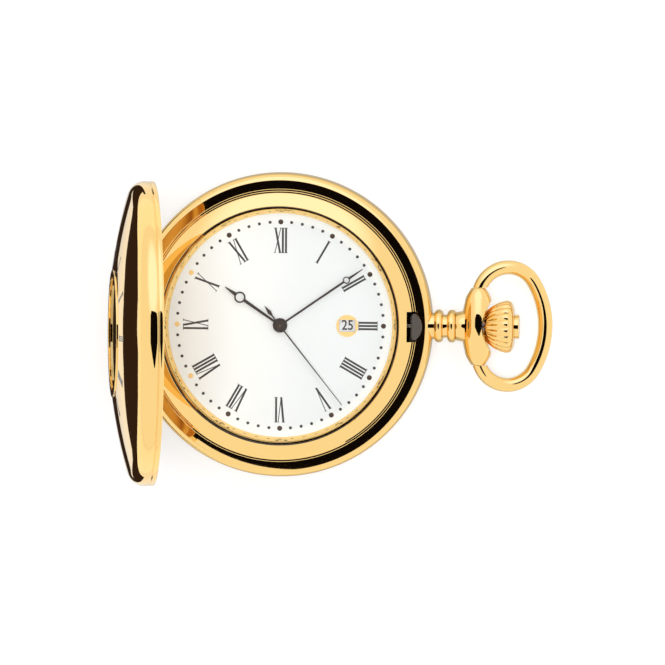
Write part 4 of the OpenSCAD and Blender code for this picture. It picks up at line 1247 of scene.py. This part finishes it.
@dataclass
class Crown(Part):
    """The fluted crown with its flat end cap.

    Attributes:
        flutes: how many ribs it has.
        depth: depth of the valleys.
        start: where it starts, from the watch's middle.
        end: where its cap starts.
        flank: radius of each point of its flank, and how far from the start it lies.
        core: the same for the rest of its section, from the cap's seat to the hole for the stem.
        plain_r: radius inside which nothing is fluted.
        bulge: power of the half wave that shapes a rib; less than 1 makes the valleys crisp.
        fade_at: share of its length where the ribs have ended.
        fade: share over which they end.
        first: depth at its start as a share of the full depth.
        cap: radius of the cap's foot, and how deep it is set.
        cap_r: radius of the cap.
        cap_end: where the cap ends.
        cap_edge: radius of the cap's edge.
    """

    flutes: int = 20
    depth: float = 0.2
    start: float = 32.3
    end: float = 36.97
    flank: tuple[Point, ...] = (
        (2.4, 0), (2.44, 0.06), (2.62, 0.3), (2.86, 0.6), (3.1, 0.92), (3.33, 1.25), (3.55, 1.62),
        (3.74, 2.0), (3.9, 2.4), (4.02, 2.8), (4.1, 3.15), (4.13, 3.45), (4.11, 3.7), (4.02, 3.94),
        (3.84, 4.15), (3.56, 4.34), (3.2, 4.49), (2.8, 4.6), (2.5, 4.65), (2.3, 4.67))
    core: tuple[Point, ...] = ((1.0, 4.67), (1.0, 4.4), (0, 4.4), (0, 1.2), (1.45, 1.2), (1.45, 0))
    plain_r: float = 2.2
    bulge: float = 0.75
    fade_at: float = 0.97
    fade: float = 0.2
    first: float = 0.55
    cap: Point = (0.9, 0.7)
    cap_r: float = 1.9
    cap_end: float = 37.7
    cap_edge: float = 0.12

    def flute(self, radius: float, along: float, angle: float) -> float:
        """Radius on the crown's flank: round ribs with crisp valleys, fading on the shoulder."""
        if radius < self.plain_r:
            return radius
        rib = abs(math.sin(math.radians(angle * self.flutes / 2))) ** self.bulge
        share = (along - self.start) / (self.end - self.start)
        fade = min(1.0, max(0.0, (self.fade_at - share) / self.fade)) * min(1.0, self.first + 2 * share)
        return radius - self.depth * fade * (1 - rib)

    def make(self) -> None:
        """Turns the crown and its cap and seats them on the crown's body."""
        outline = [(r, x + self.start) for r, x in (*self.flank, *self.core)]
        body = spin("crown_body", outline, self.flutes * 20, ON_STEM, self.flute)
        self.shop.seat(body, GOLD, "crown", "crown")
        foot, deep = self.cap
        face = self.end + 0.02
        cap = rounded([(0, self.end - deep), (foot, self.end - deep), (foot, face), (self.cap_r, face),
                       (self.cap_r, self.cap_end, self.cap_edge), (0, self.cap_end)])
        self.shop.seat(spin("crown_end", cap, 120, ON_STEM), GOLD, "crown", "crown_cap")


@dataclass
class Numerals:
    """The twelve hours as radial Roman numerals with thick and thin strokes, feet to the middle.

    Attributes:
        name: the piece's name.
        radius: distance of their middle from the centre.
        height: their height.
        scale: size of their widths beside the dial's.
        short: hours whose feet start further out, with that distance.
        bar: width of a thick stroke.
        hair: width of a thin one.
        gap: space after a letter.
        snug: share of that space after a V or an X.
        letter: width of a V or an X.
        foot: height of a serif.
        serif: how far a serif runs past its stroke.
        layer: how much higher each stroke is than the last, so that no two tops lie in one plane.
        texts: the hours.
    """

    name: str
    radius: float
    height: float
    scale: float = 1.0
    short: dict[int, float] = field(default_factory=dict)
    bar: float = 0.32
    hair: float = 0.13
    gap: float = 0.18
    snug: float = 0.6
    letter: float = 1.06
    foot: float = 0.09
    serif: float = 0.11
    layer: float = 0.0004
    texts: tuple[str, ...] = ("I", "II", "III", "IIII", "V", "VI", "VII", "VIII", "IX", "X", "XI", "XII")

    def strokes(self, text: str, low: float, high: float) -> list[list[Point]]:
        """The strokes of one numeral, centred on zero.

        Args:
            text: its letters, of I, V and X.
            low: height of its feet.
            high: height of its tops.

        Returns:
            The corners of each stroke.
        """
        made: list[list[Point]] = []
        serifs: list[tuple[float, float, float]] = []
        x, thin = 0.0, self.hair / 2
        for sign in text:
            if sign == "I":
                made.append([(x, low), (x + self.bar, low), (x + self.bar, high), (x, high)])
                serifs += [(x, x + self.bar, end) for end in (low, high)]
                x += self.bar + self.gap
                continue
            right = x + self.letter
            if sign == "V":
                foot = heel = (x + right) / 2
                behind, ahead = self.bar / 2, self.bar / 2
            else:
                foot, heel = right, x + thin
                behind, ahead = self.bar, 0.0
                serifs += [(right - self.bar, right, low), (x, x + self.hair, low)]
            made.append([(x, high), (x + self.bar, high), (foot + ahead, low), (foot - behind, low)])
            made.append([(right - self.hair, high), (right, high), (heel + thin, low), (heel - thin, low)])
            serifs += [(x, x + self.bar, high), (right - self.hair, right, high)]
            x = right + self.gap * self.snug
        for start, end, at in serifs:
            inward = at + (self.foot if at == low else -self.foot)
            start, end = start - self.serif, end + self.serif
            made.append([(start, at), (end, at), (end, inward), (start, inward)])
        middle = (x - self.gap * (1 if text[-1] == "I" else self.snug)) / 2
        return [[((px - middle) * self.scale, py) for px, py in stroke] for stroke in made]

    def make(self, thick: float, low_z: float = 0.0) -> bpy.types.Object:
        """All twelve, raised from a height.

        Args:
            thick: how far they are raised.
            low_z: the height that they start from.

        Returns:
            One piece.
        """
        points: list[Place] = []
        faces: list[tuple[int, ...]] = []
        for hour, text in enumerate(self.texts, 1):
            cos, sin = polar(1, -30 * hour)
            low = self.short.get(hour, self.radius - self.height / 2)
            for i, stroke in enumerate(self.strokes(text, low, self.radius + self.height / 2)):
                top = low_z + thick + i * self.layer
                first = len(points)
                for z in (low_z, top):
                    points += [(x * cos - y * sin, x * sin + y * cos, z) for x, y in stroke]
                faces += [tuple(first + 4 + k for k in range(4)), tuple(first + 3 - k for k in range(4))]
                faces += [(first + k, first + (k + 1) % 4, first + 4 + (k + 1) % 4, first + 4 + k)
                          for k in range(4)]
        return solid(self.name, points, faces)


@dataclass
class Dial(Part):
    """The lacquered dial with its printing, its raised dots and its date window.

    Attributes:
        face_z: height of the dial's face.
        numeral_r: radius of the hours' middles.
        numeral_h: height of the hours.
        ink: thickness of the hours' ink.
        dot_ring: radius of the ring of dots.
        dot_r: radius of an hour's dot.
        dot_h: height of such a dot as a share of its radius.
        minute_r: radius of a minute's dot.
        minute_h: thickness of its ink.
        date_x: distance of the dates' middles from the centre.
        date_room: how far past that the hour beside the window starts.
        date_today: the date in the window.
        disc_z: height of the date disc's top.
        digit_h: size of a date's digits.
        digit_w: their width as a share of the font's.
        digit_ink: thickness of their ink.
        digit_bold: how much their strokes are thickened.
    """

    face_z: float = 6.4
    numeral_r: float = 13.4
    numeral_h: float = 4.0
    ink: float = 0.01
    dot_ring: float = 16.33
    dot_r: float = 0.4
    dot_h: float = 0.14
    minute_r: float = 0.245
    minute_h: float = 0.012
    date_x: float = 10.6
    date_room: float = 1.78
    date_today: int = 25
    disc_z: float = 5.7
    digit_h: float = 2.2
    digit_w: float = 0.86
    digit_ink: float = 0.006
    digit_bold: float = 0.03

    def minute_dots(self) -> bpy.types.Object:
        """The printed dots between the hours."""
        sides = 20
        points: list[Place] = []
        faces: list[tuple[int, ...]] = []
        for minute in (minute for minute in range(60) if minute % 5):
            x, y = polar(self.dot_ring, 90 - 6 * minute)
            first, top = len(points), len(points) + sides
            for z, reach in ((0.0, self.minute_r), (self.minute_h, self.minute_r - 0.01)):
                ring = (polar(reach, 360 * k / sides) for k in range(sides))
                points += [(x + dx, y + dy, self.face_z + z) for dx, dy in ring]
            faces.append(tuple(range(top, top + sides)))
            faces += [(first + k, first + (k + 1) % sides, top + (k + 1) % sides, top + k)
                      for k in range(sides)]
        return solid("minute_dots", points, faces)

    def hour_dots(self, name: str, hours: Iterable[int]) -> bpy.types.Object:
        """Low domes at some of the hours.

        Args:
            name: the piece's name.
            hours: which hours.

        Returns:
            One piece.
        """
        high = self.dot_r * self.dot_h
        dome = (self.dot_r ** 2 + high ** 2) / (2 * high)
        sweep = math.degrees(math.asin(self.dot_r / dome))
        outline = [(0, 0), *arc((0, high - dome), dome, 90 - sweep, 90, 6)]
        places = ((*polar(self.dot_ring, 90 - 30 * hour), self.face_z) for hour in hours)
        return merge(name, (spin("dot", outline, 40, Matrix.Translation(at)) for at in places))

    def date(self, day: int) -> bpy.types.Object:
        """One date on the disc, turned so that today's shows in the window."""
        curve = bpy.data.curves.new(f"day_{day}", "FONT")
        curve.body, curve.size = str(day), self.digit_h * MM
        curve.align_x, curve.align_y = "CENTER", "CENTER"
        curve.extrude, curve.offset = self.digit_ink * MM, self.digit_bold * MM
        text = bpy.data.objects.new(f"day_{day}", curve)
        mesh = bpy.data.meshes.new_from_object(text)
        bpy.data.objects.remove(text)
        at = Vector((self.date_x, 0, self.disc_z + 0.008)) * MM
        turn = Matrix.Rotation(math.radians(-(day - self.date_today) * 360 / 31), 4, "Z")
        mesh.transform(turn @ Matrix.Translation(at) @ Matrix.Diagonal((self.digit_w, 1, 1, 1)))
        return placed(f"day_{day}", mesh)

    def make(self) -> None:
        """Prints the dial and finishes the nodes around it."""
        shop = self.shop
        short = {3: self.date_x + self.date_room}
        hours = Numerals("hour_numerals", self.numeral_r, self.numeral_h, short=short)
        shop.seat(hours.make(self.ink, self.face_z), INK, "root")
        shop.seat(self.minute_dots(), INK, "root")
        # The dots at eight to ten get painted reflection of the gold lid beside them, the others painted
        # dark reflection
        shop.seat(self.hour_dots("bright_dots", (8, 9, 10)), MATT_GOLD_AND_PAINTED_REFLECTION, "root", "hour_dots")
        shop.seat(self.hour_dots("brown_dots", (11, 12, *range(1, 8))), DOT_PAINTED_DARK_REFLECTION, "root", "hour_dots")
        shop.seat(merge("date_numbers", map(self.date, range(1, 32))), DATE_INK, "date_disc")
        shop.finish_nodes(DIAL_FACE, "dial")
        shop.finish_nodes(MATT_GOLD_AND_PAINTED_REFLECTION, "date_frame")
        shop.finish_nodes(DISC_PAINT, "date_disc")
        shop.finish_nodes(DARK_HAND, "hour_hand", "minute_hand", "seconds_hand")


@dataclass
class Movement(Part):
    """The quartz movement inside, all of it nodes of the frame."""

    def make(self) -> None:
        """Finishes each node as what it is made of."""
        for finish, names in (
                (PLATE_BRASS, ("main_plate", "train_bridge", "intermediate_wheel", "seconds_wheel",
                               "third_wheel", "centre_wheel", "minute_wheel", "hour_wheel",
                               "date_driving_wheel", "setting_wheel")),
                (LATCH_STEEL, ("lock_spring",)),
                (STEEL, ("lift_spring", "spring_screws", "holder_screws", "bridge_screws",
                         "battery_clamp", "stator", "rotor", "date_guard", "date_jumper", "sliding_pinion",
                         "setting_lever", "yoke")),
                (BRIGHT_STEEL, ("battery", "quartz_can")),
                (COPPER, ("coil",)), (BOARD, ("circuit_board",)), (RESIN, ("chip",)),
                (HOLDER, ("movement_holder",)), (RUBBER, ("back_gasket",))):
            self.shop.finish_nodes(finish, *names)


@dataclass(frozen=True)
class Card(Finish):
    """A board of the studio, as mirrors see it.

    Attributes:
        colour: its colour.
        mottled: the least share of that colour.
    """

    colour: Colour
    mottled: float = 0.92

    def dress(self, shade: Shade) -> Socket:
        """An even glow with a slight mottle."""
        mottle = shade.grain(0.02, 2)
        return shade.glow(shade.mix(mottle, self.colour, tuple(c * self.mottled for c in self.colour)))


@dataclass(frozen=True)
class FloorPaper(Finish):
    """White paper that stays white to the eye and takes a soft shadow.

    Attributes:
        pale: how much light it gives back by itself.
        tone: its colour.
        fibres: how much its fibres show.
        fibre: share of its colour that they have.
        rough: its roughness.
    """

    pale: float
    tone: Colour
    fibres: float = 0.2
    fibre: float = 0.97
    rough: float = 0.9

    def dress(self, shade: Shade) -> Socket:
        """A matt surface with a little light of its own."""
        mask = shade.grain(0.4) * self.fibres
        return shade.surface({
            "Base Color": shade.mix(mask, self.tone, tuple(c * self.fibre for c in self.tone)),
            "Roughness": self.rough, "Specular IOR Level": 0.0,
            "Emission Color": (1, 1, 1, 1), "Emission Strength": self.pale})


@dataclass(frozen=True)
class Hush(Finish):
    """A painted shadow on the paper near the watch, as mirrors see it: dim beside the case, white further
    out.

    Attributes:
        near: the painted shadow's colour beside the case.
        reach: distances, in metres, between which it turns white.
    """

    near: Colour = (0.50, 0.47, 0.42)
    reach: Point = (0.024, 0.046)

    def dress(self, shade: Shade) -> Socket:
        """A painted shadow: a glow that grows with the distance from the middle of the case."""
        return shade.glow(shade.mix(shade.ramp(shade.distance(), *self.reach), self.near, (1, 1, 1)))


# Outlines of the cards, in metres: over the watch, along its left side and close beside its lid.
ABOVE = (
    (-0.32, 0.30), (-0.22, 0.36), (0.48, 0.36), (0.58, 0.30), (0.58, -0.05), (0.24, -0.40), (0.16, -0.40),
    (-0.32, -0.05))
CRESCENT = (
    (-0.050, -0.003), (-0.0493, 0.004), (-0.0475, 0.009), (-0.0453, 0.0125), (-0.0427, 0.018),
    (-0.0403, 0.0215), (-0.035, 0.027), (-0.030, 0.034), (-0.034, 0.052), (-0.070, 0.046), (-0.084, 0.028),
    (-0.074, 0.014), (-0.069, 0.005), (-0.069, -0.002), (-0.076, -0.014), (-0.090, -0.026),
    (-0.088, -0.040), (-0.070, -0.056), (-0.034, -0.060), (-0.030, -0.038), (-0.035, -0.033),
    (-0.0399, -0.0276), (-0.0426, -0.0253), (-0.0448, -0.0196), (-0.0473, -0.0145), (-0.0493, -0.0095))
STRIP = (
    (-0.029, -0.06), (-0.029, 0.06), (-0.034, 0.06), (-0.034, 0.025), (-0.035, 0.018), (-0.036, 0.011),
    (-0.0415, 0.006), (-0.0435, 0.0), (-0.0415, -0.006), (-0.036, -0.013), (-0.035, -0.021),
    (-0.034, -0.03), (-0.034, -0.06))


@dataclass
class Studio:
    """White paper, soft lights, and dark cards that polished gold mirrors.

    Attributes:
        paper: what the watch lies on.
        paper_half: half of the paper's side, in metres.
        paper_z: its height.
        hush_r: radius of the painted shadow that mirrors see on the paper.
        hush_z: height of that painted shadow.
        high: height of the card over the watch.
        lamps: each lamp's name, place, side in metres and power in watts.
        glow_at: direction of the room's brighter side.
        glow_from: cosines of the angle to it between which the glow grows.
        glow: colour of that side.
        matt_world: how bright the room is to matt surfaces.
    """

    paper: Finish = FloorPaper("floor_paper", "", 0.62, (0.42, 0.42, 0.42))
    paper_half: float = 1.2
    paper_z: float = -0.0002
    hush_r: float = 0.08
    hush_z: float = -0.0001
    high: float = 1.0
    lamps: tuple[tuple[str, Place, float, float], ...] = (
        ("key", (0.05, 0.9, 0.95), 1.0, 5.2), ("fill", (0.9, 0.1, 0.8), 1.26, 7.4),
        ("top", (0.0, 0.0, 1.5), 0.55, 11.6))
    glow_at: Place = (0.0, 0.707, 0.707)
    glow_from: Point = (0.78, 0.95)
    glow: Colour = (1.25, 1.36, 1.8)
    matt_world: float = 0.25

    def board(self, name: str, corners: Sequence[Point], height: float, finish: Finish,
              seen: bool = False) -> None:
        """A flat board, which mirrors always see.

        Args:
            name: the board's name.
            corners: its corners, in metres.
            height: how high it lies.
            finish: what it shows.
            seen: whether the camera and matt surfaces see it too.
        """
        mesh = bpy.data.meshes.new(name)
        mesh.from_pydata([(x, y, height) for x, y in corners], [], [tuple(range(len(corners)))])
        mesh.materials.append(finish.material())
        made = placed(name, mesh)
        made.visible_camera = made.visible_diffuse = made.visible_shadow = made.visible_transmission = seen

    def floor(self) -> None:
        """The paper that the watch lies on."""
        half = self.paper_half
        corners = [(-half, -half), (half, -half), (half, half), (-half, half)]
        self.board("floor", corners, self.paper_z, self.paper, seen=True)

    def lamp(self, name: str, at: Place, size: float, watts: float) -> None:
        """A square soft light aimed at the watch, which mirrors don't show.

        Args:
            name: its name.
            at: where it stands, in metres.
            size: its side.
            watts: its power.
        """
        light = bpy.data.lights.new(name, "AREA")
        light.shape, light.size, light.energy = "SQUARE", size, watts
        made = placed(name, light)
        made.visible_glossy = False
        made.location = at
        made.rotation_euler = (-Vector(at)).to_track_quat("-Z", "Y").to_euler()

    def sky(self) -> None:
        """A white room, brighter towards twelve, which matt surfaces see dimmed."""
        world = bpy.data.worlds.new("studio")
        bpy.context.scene.world = world
        shade = Shade(world)
        matt = shade.node("ShaderNodeLightPath", output="Is Diffuse Ray")
        towards = shade.node("ShaderNodeVectorMath", {"operation": "DOT_PRODUCT"}, {
            0: shade.node("ShaderNodeTexCoord", output="Generated"), 1: self.glow_at}, "Value")
        glow = shade.ramp(towards, *self.glow_from, Curve.SOFT)
        bright = shade.node("ShaderNodeBackground", None, {
            "Color": shade.mix(glow, (1, 1, 1), self.glow), "Strength": 1.0})
        soft = shade.node("ShaderNodeBackground", None, {
            "Color": (1, 1, 1, 1), "Strength": self.matt_world})
        shade.close(shade.node("ShaderNodeMixShader", None, {0: matt, 1: bright, 2: soft}))

    def make(self) -> None:
        """Sets the paper, the cards, the lamps and the room."""
        self.sky()
        self.floor()
        black = Card("black_card", "", (0.004, 0.003, 0.003))
        brown = Card("brown_card", "", (0.032, 0.018, 0.012))
        self.board("card_above", ABOVE, self.high, black)
        self.board("card_left", CRESCENT, 0.0, brown)
        self.board("card_strip", STRIP, 0.0, brown)
        # a painted shadow around the watch, which only mirrors see
        ring = [polar(self.hush_r, 5 * i) for i in range(72)]
        self.board("card_shadow", ring, self.hush_z, Hush("floor_hush", ""))
        for lamp in self.lamps:
            self.lamp(*lamp)


@dataclass
class Eye:
    """The camera, far off and nearly square to the dial.

    Attributes:
        centre: point of the watch in the middle of the picture, in millimetres.
        wide: width of the picture at that point.
        tilt_x: lean towards the crown, in degrees.
        tilt_y: lean towards twelve.
        roll: turn of the picture.
        far: distance, in metres.
        sensor: width of its sensor, in millimetres.
        clip: nearest and furthest distance that it sees, in metres.
    """

    centre: Place = (8.227, -1.125, 5.7)
    wide: float = 105.0
    tilt_x: float = 4.0
    tilt_y: float = 3.7
    roll: float = 0.35
    far: float = 3.0
    sensor: float = 36.0
    clip: Point = (0.1, 20.0)

    def make(self) -> None:
        """Places the camera and makes it the scene's."""
        data = bpy.data.cameras.new("photo_camera")
        data.sensor_width = self.sensor
        data.lens = self.sensor * self.far / (self.wide * MM)
        data.clip_start, data.clip_end = self.clip
        made = placed("photo_camera", data)
        aim = Vector(self.centre) * MM
        lean = [math.tan(math.radians(tilt)) for tilt in (self.tilt_x, self.tilt_y)]
        back = Vector((*lean, 1)).normalized()
        across = Vector((0, 1, 0)).cross(back).normalized()
        up = back.cross(across)
        spun = Matrix.Rotation(math.radians(self.roll), 3, back)
        axes = Matrix((spun @ across, spun @ up, back)).transposed()
        made.matrix_world = Matrix.Translation(aim + back * self.far) @ axes.to_4x4()
        bpy.context.scene.camera = made


def main() -> None:
    """Builds the whole watch, its studio and its camera."""
    logging.basicConfig(level=logging.INFO, format="%(name)s: %(message)s")
    shop = Workshop(frame["nodes"])
    hinge = Hinge()
    pendant = Pendant(shop)
    Eye().make()
    for part in (Case(shop, hinge), Bezel(shop), Lid(shop, hinge), pendant, Bow(shop, pendant),
                 Crown(shop), Dial(shop), Movement(shop), Studio()):
        part.make()
        log.info("%s made", type(part).__name__)
    view = bpy.context.scene.view_settings
    view.view_transform, view.look, view.exposure, view.gamma = "Standard", "None", 0.0, 1.0
    log.info("%d pieces seated", shop.seated)


if __name__ == "__main__":
    main()
